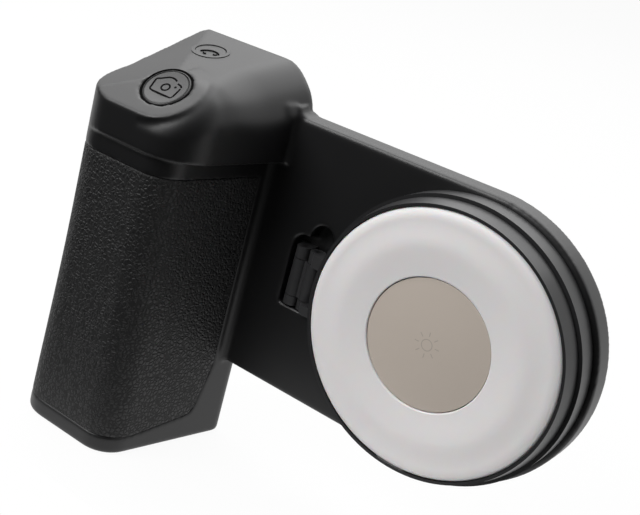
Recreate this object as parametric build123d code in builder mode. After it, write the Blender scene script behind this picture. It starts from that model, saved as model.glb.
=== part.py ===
from build123d import *
import os
from math import asin, ceil, cos, degrees, hypot, radians, sin, tan

os.makedirs("parts", exist_ok=True)

# Magnetic camera grip for a phone with a round fill light on a folding dock, in millimetres.
# The origin is the centre of the pad that the phone sits on, on the axis of the round light.
# +X runs from the handle to the round end, -Y is where the light shines, +Z is up to the shutter.

# Plate that carries the phone
plate_radius = 32.7
plate_thickness = 6.1
pad_radius = 29.0
pad_thickness = 0.6
cover_thickness = 1.4
cover_rim = 1.6
cover_gap = 0.1
root_radius = 1.4
plate_corner_radius = 2.5

# Handle, whose side walls drift outwards as they run forwards
handle_inner_x = -54.7
handle_outer_x = -87.3
inner_drift = 0.18
outer_drift = 0.07
handle_depth = 32.2
handle_foot_z = -54.6
handle_front_radius = 8.0
handle_back_radius = 2.5
neck_step = 0.7
wall = 2.2
foot_chamfer = 0.8

# Head above the handle
head_inner_x = -50.6
head_outer_x = -87.3
head_overhang = 1.3
head_lip_z = 20.8
head_top_z = 43.0
head_front_outer_radius = 10.0
head_front_inner_radius = 12.0
head_back_radius = 2.5
side_fall_along = 0.346
side_fall_across = 0.27
side_fall_drop = 0.3
shoulder_radius = 12.0
top_slope = 11.5

# Shutter button on its tilted round lobe
button_x = -69.9
button_y = -32.5
button_z = 34.6
button_slope = 36.2
button_radius = 5.85
button_thickness = 2.2
button_travel = 0.6
button_gap = 0.2
lobe_radius = 10.0
scoop_slope = 39.5
lobe_skin = 2.0
switch_size = 6.0
switch_height = 2.1
plunger_radius = 1.6
plunger_height = 0.6
board_thickness = 1.0
pocket_radius = 8.0
pocket_extra = 2.6
flange_width = 0.9
flange_thickness = 0.8
stem_radius = 1.5
stem_length = 2.0

# Small key behind the shutter button
key_x = -75.2
key_y = -12.2
key_radius = 3.6
key_travel = 0.3
key_flange_thickness = 0.6
key_stem_radius = 1.0
key_stem_length = 0.8
key_switch_size = 4.0
key_switch_height = 1.5
loft_front_y = -17.0
loft_back_y = -3.0
loft_outer_x = -82.0
loft_inner_x = -64.0
loft_top_z = 36.6
loft_floor_z = 24.5

# Leather wrap round the handle
wrap_thickness = 0.9
wrap_top_z = 16.1
wrap_bottom_front_z = -50.0
wrap_bottom_back_z = -47.2
wrap_back_margin = 2.6
wrap_low_margin = 6.2
wrap_step_z = -34.0
wrap_corner_radius = 3.5

# Folding hinge, two parallel columns of barrels
hinge_inner_x = -40.8
hinge_pitch = 3.8
barrel_radius = 1.8
barrel_proud = 0.6
barrel_bottom_z = -11.0
barrel_top_z = 3.8
upper_knuckle = 2.9
lower_knuckle = 2.3
knuckle_gap = 0.15
pin_radius = 0.8
pin_clearance = 0.05
hinge_gap = 0.3
leaf_thickness = 0.8
recess_margin = 1.0
recess_right_x = -30.8
recess_corner = 3.0
recess_above = 2.7
recess_below = 0.5
notch_x = -36.3
notch_width = 6.4
notch_height = 4.0
leaf_tongue = 9.0
leaf_inset = 0.3

# Dock disc that folds out
dock_radius = 31.5
dock_thickness = 5.3
dock_skin = 1.5
dock_rim = 1.6
dock_cover_thickness = 1.0
joint_gap = 0.3

# Magnet rings
magnet_inner_radius = 23.0
magnet_outer_radius = 28.0
magnet_count = 18
magnet_gap_angle = 1.5
ring_opening_angle = 60.0
ring_clearance = 0.5
yoke_thickness = 0.6
magnet_thickness = 2.2

# Round fill light
light_radius = 30.7
light_thickness = 4.7
light_rim = 1.4
light_lip = 0.65
light_lip_drop = 0.5
light_ledge = 1.0
light_board_depth = 2.2
light_board_thickness = 0.7
light_cover_thickness = 0.8
light_magnet_thickness = 1.3
light_battery_radius = 20.0
light_battery_thickness = 1.3
led_ring_radius = 22.0
led_count = 24
led_length = 2.0
led_width = 1.6
led_height = 0.35
diffuser_thickness = 0.8
diffuser_crown = 0.5
diffuser_gap = 0.3
mirror_radius = 14.6
mirror_thickness = 0.6
mirror_sink = 0.5
mirror_travel = 0.2
mirror_stem_radius = 2.0
dome_radius = 3.0
dome_height = 0.3

# Sockets, cell, thread and screws
socket_width = 8.9
socket_height = 3.1
socket_length = 7.3
socket_wall = 0.35
socket_margin = 0.1
socket_x = -71.0
cell_radius = 9.15
cell_length = 65.0
cell_x = -72.6
cell_y = -21.5
cell_bottom_z = -46.0
cradle_bottom_z = -40.0
cradle_height = 48.0
board_width = 14.0
board_top_z = 14.0
board_y = -5.0
foot_thickness = 2.5
foot_margin = 2.4
thread_minor_radius = 2.55
insert_radius = 5.0
insert_length = 8.0
insert_roof = 0.5
insert_boss_wall = 2.0
insert_x = -72.8
insert_y = -22.0
screw_radius = 0.9
screw_head_radius = 1.8
screw_head_thickness = 1.0
screw_length = 4.6
boss_wall = 1.5
boss_length = 4.0
foot_boss_length = 4.0
foot_screw_back = 7.0
bracket_screw_radius = 0.6

# Levels along Y, from the phone towards the light
plate_back_y = -pad_thickness
plate_front_y = plate_back_y - plate_thickness
cover_front_y = plate_back_y - cover_thickness
handle_front_y = plate_front_y - handle_depth
head_front_y = handle_front_y - head_overhang
dock_back_y = plate_front_y - joint_gap
dock_front_y = dock_back_y - dock_thickness
light_back_y = dock_front_y - joint_gap
light_front_y = light_back_y - light_thickness
hinge_y = plate_front_y - barrel_proud + barrel_radius
recess_floor_y = hinge_y + barrel_radius + hinge_gap + leaf_thickness
hinge_outer_x = hinge_inner_x + hinge_pitch
loose_reach = 60.0

# Axes of the two buttons on the head
facet_normal = (0, -sin(radians(button_slope)), cos(radians(button_slope)))
facet = Plane(origin=(button_x, button_y, button_z), x_dir=(1, 0, 0), z_dir=facet_normal)
key_z = head_top_z + (key_y - plate_back_y) * tan(radians(top_slope))
key_normal = (0, -sin(radians(top_slope)), cos(radians(top_slope)))
key_plane = Plane(origin=(key_x, key_y, key_z), x_dir=(1, 0, 0), z_dir=key_normal)


def wall_x(x_at_plate, drift, y):
    """Place of a drifting side wall at the depth y."""
    return x_at_plate + drift * (y - plate_front_y)


def handle_corners(inner_x, outer_x, front_y, back_y, inset):
    """Plan corners of a handle section drawn in by inset: back, front, front, back."""
    inner = inner_x - inset * hypot(1, inner_drift)
    outer = outer_x + inset * hypot(1, outer_drift)
    front = front_y + inset
    return [
        (wall_x(inner, inner_drift, back_y), back_y),
        (wall_x(inner, inner_drift, front), front),
        (wall_x(outer, outer_drift, front), front),
        (wall_x(outer, outer_drift, back_y), back_y),
    ]


def draw_handle(inset, back_y):
    """Plan section of the handle in the open sketch, drawn in by inset."""
    corners = handle_corners(handle_inner_x, handle_outer_x, handle_front_y, back_y, inset)
    back = max(handle_back_radius - inset, 0.5)
    front = max(handle_front_radius - inset, 0.5)
    with BuildLine() as outline:
        FilletPolyline(*corners, radius=[back, front, front, back], close=True)
    make_face(outline.edges())


def draw_head():
    """Plan section of the head in the open sketch."""
    corners = handle_corners(head_inner_x, head_outer_x, head_front_y, plate_back_y, 0)
    radii = [0.5, head_front_inner_radius, head_front_outer_radius, head_back_radius]
    with BuildLine() as outline:
        FilletPolyline(*corners, radius=radii, close=True)
    make_face(outline.edges())


def draw_root(inner_x):
    """Hollow fillet, in plan, between a drifting wall and the front of the plate."""
    corner_x = wall_x(inner_x, inner_drift, plate_front_y)
    far_y = plate_front_y - root_radius
    bend = root_radius * (1 - cos(radians(45)))
    start = (corner_x + root_radius, plate_front_y)
    end = (wall_x(inner_x, inner_drift, far_y), far_y)
    behind = (corner_x - root_radius, plate_front_y + root_radius)
    with BuildLine() as outline:
        ThreePointArc(start, (corner_x + bend, plate_front_y - bend), end)
        Polyline(end, (behind[0], far_y), behind, (start[0], behind[1]), start)
    make_face(outline.edges())


def draw_web(corner_x, edge_z, side, radius):
    """Hollow fillet, seen from the front, between a side wall and an edge of the plate."""
    bend = radius * (1 - cos(radians(45)))
    start = (corner_x + radius, edge_z)
    end = (corner_x, edge_z + side * radius)
    inside_z = edge_z - side * radius
    with BuildLine() as outline:
        ThreePointArc(start, (corner_x + bend, edge_z + side * bend), end)
        Polyline(end, (corner_x - radius, end[1]), (corner_x - radius, inside_z), (start[0], inside_z), start)
    make_face(outline.edges())


def draw_plate(inset):
    """Outline of the plate seen from the front, round at its free end."""
    half = plate_radius - inset
    with Locations((handle_inner_x / 2, 0)):
        Rectangle(-handle_inner_x, 2 * half)
    Circle(half)


def draw_cover(inset):
    """Outline of the rear cover: the plate, the handle and the head with its round shoulder."""
    draw_plate(inset)
    with Locations((handle_inner_x, 0)):
        Rectangle(2 * (neck_step + wall), 2 * (plate_radius - inset))
    outer = wall_x(handle_outer_x, outer_drift, plate_back_y) + inset
    neck_inner = wall_x(handle_inner_x, inner_drift, plate_back_y) - inset - neck_step
    head_inner = wall_x(head_inner_x, inner_drift, plate_back_y) - inset
    with BuildLine() as outline:
        neck = [
            (outer, handle_foot_z + inset),
            (neck_inner, handle_foot_z + inset),
            (neck_inner, head_lip_z),
            (outer, head_lip_z),
        ]
        FilletPolyline(*neck, radius=[handle_back_radius, handle_back_radius, 0, 0], close=True)
    make_face(outline.edges())
    with BuildLine() as outline:
        head = [
            (outer, 0),
            (head_inner, 0),
            (head_inner, head_top_z - inset),
            (outer, head_top_z - inset),
        ]
        FilletPolyline(*head, radius=[0, 0, shoulder_radius - inset, head_back_radius], close=True)
    make_face(outline.edges())


def ring_angles():
    """Middle angles of the magnets of one ring, which stays open towards the handle."""
    span = (360 - ring_opening_angle) / magnet_count
    first = 180 + ring_opening_angle / 2 + span / 2
    return [first + span * i for i in range(magnet_count)]


def draw_sector(inner, outer, middle, span):
    """Sector of a ring in the open sketch, from its middle angle and its span in degrees."""
    start = radians(middle - span / 2)
    end = radians(middle + span / 2)
    mid = radians(middle)
    with BuildLine() as outline:
        ThreePointArc(
            (outer * cos(start), outer * sin(start)),
            (outer * cos(mid), outer * sin(mid)),
            (outer * cos(end), outer * sin(end)),
        )
        Line((outer * cos(end), outer * sin(end)), (inner * cos(end), inner * sin(end)))
        ThreePointArc(
            (inner * cos(end), inner * sin(end)),
            (inner * cos(mid), inner * sin(mid)),
            (inner * cos(start), inner * sin(start)),
        )
        Line((inner * cos(start), inner * sin(start)), (outer * cos(start), outer * sin(start)))
    make_face(outline.edges())


def front_plane(y):
    """Sketch plane that faces the light's subject at the depth y."""
    return Plane.XZ.offset(-y)


# Screw places
boss_radius = screw_radius + boss_wall
cover_screw_spots = [
    (wall_x(handle_outer_x, outer_drift, plate_back_y) + wall + boss_radius, head_top_z - wall - boss_radius),
    (loft_inner_x, head_top_z - wall - boss_radius),
    (wall_x(handle_outer_x, outer_drift, plate_back_y) + wall + boss_radius, handle_foot_z + 9.0),
    (wall_x(handle_inner_x, inner_drift, plate_back_y) - wall - boss_radius - neck_step, handle_foot_z + 9.0),
    (head_inner_x + 3.0, plate_radius - 6.0),
    (head_inner_x + 3.0, -plate_radius + 6.0),
]
bracket_screw_spots = [
    (hinge_inner_x, barrel_top_z - upper_knuckle / 2),
    (hinge_inner_x, barrel_bottom_z + lower_knuckle / 2),
]
foot_top_z = handle_foot_z + foot_thickness
cavity_inset = wall + wrap_thickness
foot_spot_inset = wrap_thickness + wall / 2 + boss_radius
foot_back_y = cover_front_y - foot_screw_back
foot_front_y = handle_front_y + foot_spot_inset
foot_screw_spots = [
    (wall_x(handle_inner_x, inner_drift, handle_front_y) - handle_front_radius, foot_front_y),
    (wall_x(handle_outer_x, outer_drift, handle_front_y) + handle_front_radius, foot_front_y),
    (wall_x(handle_inner_x, inner_drift, foot_back_y) - foot_spot_inset, foot_back_y),
    (wall_x(handle_outer_x, outer_drift, foot_back_y) + foot_spot_inset, foot_back_y),
]

# Leather wrap
wrap_back_y = plate_front_y - wrap_back_margin
wrap_low_y = plate_front_y - wrap_low_margin
with BuildPart() as grip_wrap:
    with BuildSketch(Plane.XY.offset(wrap_bottom_front_z)):
        draw_handle(0, plate_back_y)
    extrude(amount=wrap_top_z - wrap_bottom_front_z)
    with BuildSketch(Plane.XY.offset(wrap_bottom_front_z)):
        draw_handle(wrap_thickness, plate_back_y + wrap_thickness)
    extrude(amount=wrap_top_z - wrap_bottom_front_z, mode=Mode.SUBTRACT)
    with BuildSketch(Plane.YZ.offset(handle_outer_x - handle_depth)):
        with BuildLine():
            outline = [
                (handle_front_y - wrap_thickness, wrap_bottom_front_z),
                (handle_front_y + handle_front_radius, wrap_bottom_front_z),
                (wrap_low_y, wrap_bottom_back_z),
                (wrap_back_y, wrap_step_z),
                (wrap_back_y, wrap_top_z),
                (handle_front_y - wrap_thickness, wrap_top_z),
            ]
            FilletPolyline(*outline, radius=[0, 0, wrap_corner_radius, wrap_corner_radius, 0, 0], close=True)
        make_face()
    extrude(amount=2 * handle_depth + handle_inner_x - handle_outer_x, mode=Mode.INTERSECT)
grip_wrap.part.label = "grip_wrap"

# Planes of the head, and the crease between its top and the facet of the button
head_axis = Vector(inner_drift, 1, 0).normalized()
shoulder_plane = Plane(
    origin=(wall_x(head_inner_x, inner_drift, plate_back_y), plate_back_y, 0),
    x_dir=(head_axis.Y, -head_axis.X, 0),
    z_dir=(-head_axis.X, -head_axis.Y, 0),
)
side_plane = Plane(
    origin=(wall_x(head_outer_x, outer_drift, plate_back_y), plate_back_y, head_top_z - side_fall_drop),
    z_dir=(-side_fall_across, -side_fall_along, 1),
)
rise = tan(radians(top_slope))
fall = tan(radians(button_slope))
base = head_top_z - rise * plate_back_y
crease_y = (button_z - fall * button_y - base) / (rise - fall)

# Scoop beside the lobe of the shutter button, which grows deeper from the crease to the front
scoop_plane = Plane(
    origin=(button_x, crease_y, base + rise * crease_y),
    x_dir=(1, 0, 0),
    z_dir=(0, -sin(radians(scoop_slope)), cos(radians(scoop_slope))),
)
with BuildPart() as scoop:
    with BuildSketch(facet.offset(-lobe_radius)):
        with Locations((loose_reach / 2 + lobe_radius / 2, 0)):
            Rectangle(loose_reach, loose_reach)
        Circle(lobe_radius, mode=Mode.SUBTRACT)
    extrude(amount=2 * lobe_radius)
    with BuildSketch(scoop_plane):
        Circle(2 * loose_reach)
    extrude(amount=-loose_reach, mode=Mode.SUBTRACT)

with BuildPart() as head_form:
    with BuildSketch(Plane.XY.offset(head_lip_z)):
        draw_head()
    extrude(amount=head_top_z - head_lip_z)
    with BuildSketch(shoulder_plane):
        with BuildLine():
            shoulder = [
                (0, head_lip_z),
                (0, head_top_z),
                (-loose_reach, head_top_z),
                (-loose_reach, head_lip_z),
            ]
            FilletPolyline(*shoulder, radius=[0, shoulder_radius, 0, 0], close=True)
        make_face()
    extrude(amount=loose_reach, both=True, mode=Mode.INTERSECT)
    with BuildSketch(Plane.YZ.offset(-2 * loose_reach)):
        with BuildLine():
            rim_z = button_z + fall * (head_front_y - button_y)
            Polyline(
                (plate_back_y, head_lip_z),
                (plate_back_y, head_top_z),
                (crease_y, base + rise * crease_y),
                (head_front_y, rim_z),
                (head_front_y, head_lip_z),
                close=True,
            )
        make_face()
    extrude(amount=2 * loose_reach, mode=Mode.INTERSECT)
    with BuildSketch(side_plane):
        Circle(loose_reach)
    extrude(amount=loose_reach, mode=Mode.SUBTRACT)
    add(scoop.part, mode=Mode.SUBTRACT)

# Grip shell: plate, handle and head in one moulding
pocket_depth = button_travel + button_thickness + stem_length + plunger_height + switch_height + pocket_extra
plate_pocket_y = cover_front_y - magnet_thickness - yoke_thickness
with BuildPart() as grip_shell:
    with BuildSketch(Plane.XY.offset(handle_foot_z)):
        draw_handle(0, plate_back_y)
    extrude(amount=head_lip_z - handle_foot_z)
    chamfer(grip_shell.faces().sort_by(Axis.Z)[0].edges(), foot_chamfer)
    with BuildSketch(front_plane(plate_back_y)):
        draw_plate(0)
        draw_web(head_inner_x, plate_radius, 1, plate_corner_radius)
        draw_web(handle_inner_x, -plate_radius, -1, root_radius)
    extrude(amount=plate_thickness)
    with BuildSketch(Plane.XY.offset(-plate_radius)):
        draw_root(handle_inner_x)
    extrude(amount=head_lip_z + plate_radius)
    with BuildSketch(Plane.XY.offset(head_lip_z)):
        draw_root(head_inner_x)
    extrude(amount=plate_radius - head_lip_z)
    add(head_form.part)
    add(grip_wrap.part, mode=Mode.SUBTRACT)
    # Rear cover's seat and the handle's hollow
    with BuildSketch(front_plane(plate_back_y)):
        draw_cover(cover_rim)
    extrude(amount=cover_thickness, mode=Mode.SUBTRACT)
    with BuildSketch(Plane.XY.offset(foot_top_z)):
        draw_handle(cavity_inset, cover_front_y)
    extrude(amount=loft_floor_z - foot_top_z, mode=Mode.SUBTRACT)
    with BuildSketch(front_plane(cover_front_y)):
        with Locations(((loft_outer_x + loft_inner_x) / 2, (loft_top_z + loft_floor_z) / 2 - 1)):
            Rectangle(loft_inner_x - loft_outer_x, loft_top_z - loft_floor_z + 2)
    extrude(amount=cover_front_y - loft_front_y, mode=Mode.SUBTRACT)
    # Shutter button's hole and the pocket of its switch
    with BuildSketch(facet):
        Circle(button_radius + button_gap)
    extrude(amount=-pocket_depth, mode=Mode.SUBTRACT)
    with BuildSketch(facet.offset(-lobe_skin)):
        Circle(pocket_radius)
    extrude(amount=lobe_skin - pocket_depth, mode=Mode.SUBTRACT)
    # Small key's hole
    with BuildSketch(key_plane):
        Circle(key_radius + button_gap)
    extrude(amount=loft_floor_z - key_z, mode=Mode.SUBTRACT)
    # Ring groove for the phone magnets
    with BuildSketch(front_plane(cover_front_y)):
        Circle(magnet_outer_radius + ring_clearance)
        Circle(magnet_inner_radius - ring_clearance, mode=Mode.SUBTRACT)
    extrude(amount=cover_front_y - plate_pocket_y, mode=Mode.SUBTRACT)
    # Hinge recess with its finger notch
    recess_left_x = hinge_inner_x - barrel_radius - recess_margin
    recess_top_z = barrel_top_z + recess_above
    recess_bottom_z = barrel_bottom_z - recess_below
    with BuildSketch(front_plane(recess_floor_y)):
        with BuildLine():
            pocket = [
                (recess_left_x, recess_bottom_z),
                (recess_left_x, recess_top_z),
                (recess_right_x, recess_top_z),
                (recess_right_x, recess_bottom_z),
            ]
            FilletPolyline(*pocket, radius=[0.5, recess_corner, 0, 0], close=True)
        make_face()
        with Locations((notch_x, recess_top_z)):
            Ellipse(notch_width / 2, notch_height)
    extrude(amount=recess_floor_y - plate_front_y, mode=Mode.SUBTRACT)
    # Foot opening
    with BuildSketch(Plane.XY.offset(handle_foot_z)):
        draw_handle(foot_margin, cover_front_y - boss_wall)
    extrude(amount=foot_thickness, mode=Mode.SUBTRACT)
    # Screw posts and their holes
    with BuildSketch(front_plane(cover_front_y)):
        with Locations(*cover_screw_spots[:4]):
            Circle(boss_radius)
    extrude(amount=boss_length)
    with BuildSketch(Plane.XY.offset(foot_top_z)):
        with Locations(*foot_screw_spots):
            Circle(boss_radius)
    extrude(amount=foot_boss_length)
    with BuildSketch(front_plane(cover_front_y)):
        with Locations(*cover_screw_spots):
            Circle(screw_radius)
    extrude(amount=screw_length - cover_thickness, mode=Mode.SUBTRACT)
    with BuildSketch(Plane.XY.offset(foot_top_z)):
        with Locations(*foot_screw_spots):
            Circle(screw_radius)
    extrude(amount=screw_length - foot_thickness, mode=Mode.SUBTRACT)
    # Bracket screws pass the thin floor of the recess
    with BuildSketch(front_plane(cover_front_y)):
        with Locations(*bracket_screw_spots):
            Circle(bracket_screw_radius)
    extrude(amount=cover_front_y - recess_floor_y, mode=Mode.SUBTRACT)
grip_shell.part.label = "grip_shell"

# Rear cover over the handle and the plate
with BuildPart() as back_cover:
    with BuildSketch(front_plane(plate_back_y)):
        draw_cover(cover_rim + cover_gap)
    extrude(amount=cover_thickness)
    with BuildSketch(front_plane(plate_back_y)):
        with Locations(*cover_screw_spots):
            Circle(screw_radius)
    extrude(amount=cover_thickness, mode=Mode.SUBTRACT)
    with BuildSketch(front_plane(plate_back_y)):
        with Locations(*cover_screw_spots):
            Circle(screw_head_radius)
    extrude(amount=screw_head_thickness, mode=Mode.SUBTRACT)
back_cover.part.label = "back_cover"

# Foot plate with the boss for the tripod thread
socket_y = board_y - socket_height / 2
with BuildPart() as foot_plate:
    with BuildSketch(Plane.XY.offset(handle_foot_z)):
        draw_handle(foot_margin + cover_gap, cover_front_y - boss_wall - cover_gap)
    extrude(amount=foot_thickness)
    with BuildSketch(Plane.XY.offset(foot_top_z)):
        with Locations((insert_x, insert_y)):
            Circle(insert_radius + insert_boss_wall)
    extrude(amount=insert_length - foot_thickness)
    with BuildSketch(Plane.XY.offset(handle_foot_z)):
        with Locations((insert_x, insert_y)):
            Circle(insert_radius)
    extrude(amount=insert_length, mode=Mode.SUBTRACT)
    with BuildSketch(Plane.XY.offset(handle_foot_z)):
        with Locations((socket_x, socket_y)):
            SlotOverall(socket_width + 2 * socket_margin, socket_height + 2 * socket_margin)
    extrude(amount=foot_thickness, mode=Mode.SUBTRACT)
    with BuildSketch(Plane.XY.offset(handle_foot_z)):
        with Locations(*foot_screw_spots):
            Circle(screw_radius)
    extrude(amount=foot_thickness, mode=Mode.SUBTRACT)
    with BuildSketch(Plane.XY.offset(handle_foot_z)):
        with Locations(*foot_screw_spots):
            Circle(screw_head_radius)
    extrude(amount=screw_head_thickness, mode=Mode.SUBTRACT)
foot_plate.part.label = "foot_plate"

# Brass tripod insert
with BuildPart() as tripod_insert:
    with BuildSketch(Plane.XY.offset(handle_foot_z)):
        with Locations((insert_x, insert_y)):
            Circle(insert_radius)
    extrude(amount=insert_length)
    with BuildSketch(Plane.XY.offset(handle_foot_z)):
        with Locations((insert_x, insert_y)):
            Circle(thread_minor_radius)
    extrude(amount=insert_length - insert_roof, mode=Mode.SUBTRACT)
tripod_insert.part.label = "tripod_insert"

# Screws of the rear cover and of the foot plate
with BuildPart() as cover_screws:
    with BuildSketch(front_plane(plate_back_y)):
        with Locations(*cover_screw_spots):
            Circle(screw_head_radius)
    extrude(amount=screw_head_thickness)
    with BuildSketch(front_plane(plate_back_y)):
        with Locations(*cover_screw_spots):
            Circle(screw_radius)
    extrude(amount=screw_length)
cover_screws.part.label = "cover_screws"

with BuildPart() as foot_screws:
    with BuildSketch(Plane.XY.offset(handle_foot_z)):
        with Locations(*foot_screw_spots):
            Circle(screw_head_radius)
    extrude(amount=screw_head_thickness)
    with BuildSketch(Plane.XY.offset(handle_foot_z)):
        with Locations(*foot_screw_spots):
            Circle(screw_radius)
    extrude(amount=screw_length)
foot_screws.part.label = "foot_screws"

# Soft pad under the phone
with BuildPart() as phone_pad:
    with BuildSketch(front_plane(0)):
        Circle(pad_radius)
    extrude(amount=pad_thickness)
phone_pad.part.label = "phone_pad"


def build_magnets(front_y, thickness, turn):
    """Ring of separate magnets whose front faces lie at front_y."""
    with BuildPart() as ring:
        with BuildSketch(front_plane(front_y + thickness)):
            span = (360 - ring_opening_angle) / magnet_count - magnet_gap_angle
            for middle in ring_angles():
                draw_sector(magnet_inner_radius, magnet_outer_radius, middle + turn, span)
        extrude(amount=thickness)
    return ring.part


def build_yoke(front_y):
    """Open steel ring behind the magnets of one ring."""
    with BuildPart() as ring:
        with BuildSketch(front_plane(front_y + yoke_thickness)):
            draw_sector(magnet_inner_radius, magnet_outer_radius, 0, 360 - ring_opening_angle)
        extrude(amount=yoke_thickness)
    return ring.part


phone_magnets = build_magnets(plate_pocket_y + yoke_thickness, magnet_thickness, 0)
phone_magnets.label = "phone_magnets"
phone_yoke = build_yoke(plate_pocket_y)
phone_yoke.label = "phone_yoke"

# Cell, its cradle and the main board
with BuildPart() as battery_cell:
    with BuildSketch(Plane.XY.offset(cell_bottom_z)):
        with Locations((cell_x, cell_y)):
            Circle(cell_radius)
    extrude(amount=cell_length)
battery_cell.part.label = "battery_cell"

with BuildPart() as battery_cradle:
    with BuildSketch(Plane.XY.offset(cradle_bottom_z)):
        draw_handle(cavity_inset, board_y)
        with Locations((cell_x, cell_y - loose_reach / 2)):
            Rectangle(loose_reach, loose_reach, mode=Mode.SUBTRACT)
        with Locations((cell_x, cell_y)):
            Circle(cell_radius, mode=Mode.SUBTRACT)
    extrude(amount=cradle_height)
battery_cradle.part.label = "battery_cradle"

with BuildPart() as main_board:
    with BuildSketch(front_plane(board_y + board_thickness)):
        with Locations((socket_x, (board_top_z + foot_top_z + cover_gap) / 2)):
            Rectangle(board_width, board_top_z - foot_top_z - cover_gap)
    extrude(amount=board_thickness)
main_board.part.label = "main_board"


with BuildPart() as usb_socket:
    socket_mouth = Plane(origin=(socket_x, socket_y, handle_foot_z + cover_gap))
    with BuildSketch(socket_mouth):
        SlotOverall(socket_width, socket_height)
    extrude(amount=socket_length)
    with BuildSketch(socket_mouth):
        SlotOverall(socket_width - 2 * socket_wall, socket_height - 2 * socket_wall)
    extrude(amount=socket_length - socket_wall, mode=Mode.SUBTRACT)
    with BuildSketch(socket_mouth.offset(1)):
        Rectangle(socket_width * 0.7, socket_wall * 2)
    extrude(amount=socket_length - 1)
usb_socket.part.label = "usb_socket"

# Shutter button with its flange and stem
with BuildPart() as shutter_button:
    with BuildSketch(facet):
        Circle(button_radius)
    extrude(amount=-button_thickness)
    with BuildSketch(facet.offset(-button_thickness)):
        Circle(button_radius + flange_width)
    extrude(amount=-flange_thickness)
    with BuildSketch(facet.offset(-button_thickness)):
        Circle(stem_radius)
    extrude(amount=-stem_length)
shutter_button.part.label = "shutter_button"

stem_end = button_thickness + stem_length
plunger_top = stem_end + button_travel + cover_gap
with BuildPart() as shutter_switch:
    with BuildSketch(facet.offset(-plunger_top)):
        Circle(plunger_radius)
    extrude(amount=-plunger_height)
    with BuildSketch(facet.offset(-plunger_top - plunger_height)):
        Rectangle(switch_size, switch_size)
    extrude(amount=-switch_height)
shutter_switch.part.label = "shutter_switch"

with BuildPart() as shutter_board:
    with BuildSketch(facet.offset(-plunger_top - plunger_height - switch_height)):
        Circle(pocket_radius)
    extrude(amount=-board_thickness)
shutter_board.part.label = "shutter_board"

# Small key, its switch and its board
key_drop = (key_z - loft_top_z + (key_radius + flange_width) * sin(radians(top_slope))) / cos(radians(top_slope))
key_length = key_drop + button_gap
with BuildPart() as pairing_key:
    with BuildSketch(key_plane):
        Circle(key_radius)
    extrude(amount=-key_length)
    with BuildSketch(key_plane.offset(-key_length)):
        Circle(key_radius + flange_width)
    extrude(amount=-key_flange_thickness)
    with BuildSketch(key_plane.offset(-key_length - key_flange_thickness)):
        Circle(key_stem_radius)
    extrude(amount=-key_stem_length)
pairing_key.part.label = "pairing_key"

key_reach = key_length + key_flange_thickness + key_stem_length + key_travel
key_end_y = key_y + key_reach * sin(radians(top_slope))
key_end_z = key_z - key_reach * cos(radians(top_slope)) - key_stem_radius * sin(radians(top_slope))
key_board_z = key_end_z - button_gap - key_switch_height
with BuildPart() as pairing_switch:
    with BuildSketch(Plane.XY.offset(key_board_z)):
        with Locations((key_x, key_end_y)):
            Rectangle(key_switch_size, key_switch_size)
    extrude(amount=key_switch_height)
pairing_switch.part.label = "pairing_switch"

with BuildPart() as pairing_board:
    with BuildSketch(Plane.XY.offset(key_board_z - board_thickness)):
        with Locations(((loft_outer_x + loft_inner_x) / 2, (loft_front_y + loft_back_y) / 2 + 1)):
            Rectangle(loft_inner_x - loft_outer_x, loft_back_y - loft_front_y - 3)
    extrude(amount=board_thickness)
pairing_board.part.label = "pairing_board"

# Hinge: knuckle heights
upper_split_z = barrel_top_z - upper_knuckle
lower_split_z = barrel_bottom_z + lower_knuckle
knuckle_spans = [(upper_split_z, barrel_top_z), (barrel_bottom_z, lower_split_z)]
middle_bottom_z = lower_split_z + knuckle_gap
middle_length = upper_split_z - lower_split_z - 2 * knuckle_gap
bracket_left_x = recess_left_x + leaf_inset
bracket_right_x = hinge_outer_x - barrel_radius - leaf_inset

with BuildPart() as hinge_bracket:
    with BuildSketch(front_plane(recess_floor_y)):
        with Locations(((bracket_left_x + bracket_right_x) / 2, (barrel_top_z + barrel_bottom_z) / 2)):
            Rectangle(bracket_right_x - bracket_left_x, barrel_top_z - barrel_bottom_z)
    extrude(amount=leaf_thickness)
    for low_z, high_z in knuckle_spans:
        with BuildSketch(Plane.XY.offset(low_z)):
            with Locations((hinge_inner_x, hinge_y)):
                Circle(barrel_radius)
            with Locations((hinge_inner_x, (hinge_y + recess_floor_y) / 2)):
                Rectangle(2 * barrel_radius, recess_floor_y - hinge_y)
        extrude(amount=high_z - low_z)
    with BuildSketch(Plane.XY.offset(barrel_bottom_z)):
        with Locations((hinge_inner_x, hinge_y)):
            Circle(pin_radius)
    extrude(amount=barrel_top_z - barrel_bottom_z, mode=Mode.SUBTRACT)
    with BuildSketch(front_plane(recess_floor_y)):
        with Locations(*bracket_screw_spots):
            Circle(bracket_screw_radius)
    extrude(amount=leaf_thickness, mode=Mode.SUBTRACT)
hinge_bracket.part.label = "hinge_bracket"

with BuildPart() as bracket_screws:
    with BuildSketch(front_plane(cover_front_y)):
        with Locations(*bracket_screw_spots):
            Circle(bracket_screw_radius)
    extrude(amount=cover_front_y - recess_floor_y + leaf_thickness)
bracket_screws.part.label = "bracket_screws"

with BuildPart() as hinge_pin_inner:
    with BuildSketch(Plane.XY.offset(barrel_bottom_z)):
        with Locations((hinge_inner_x, hinge_y)):
            Circle(pin_radius)
    extrude(amount=barrel_top_z - barrel_bottom_z)
hinge_pin_inner.part.label = "hinge_pin_inner"

with BuildPart() as hinge_pin_outer:
    with BuildSketch(Plane.XY.offset(barrel_bottom_z)):
        with Locations((hinge_outer_x, hinge_y)):
            Circle(pin_radius)
    extrude(amount=barrel_top_z - barrel_bottom_z)
hinge_pin_outer.part.label = "hinge_pin_outer"

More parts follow.
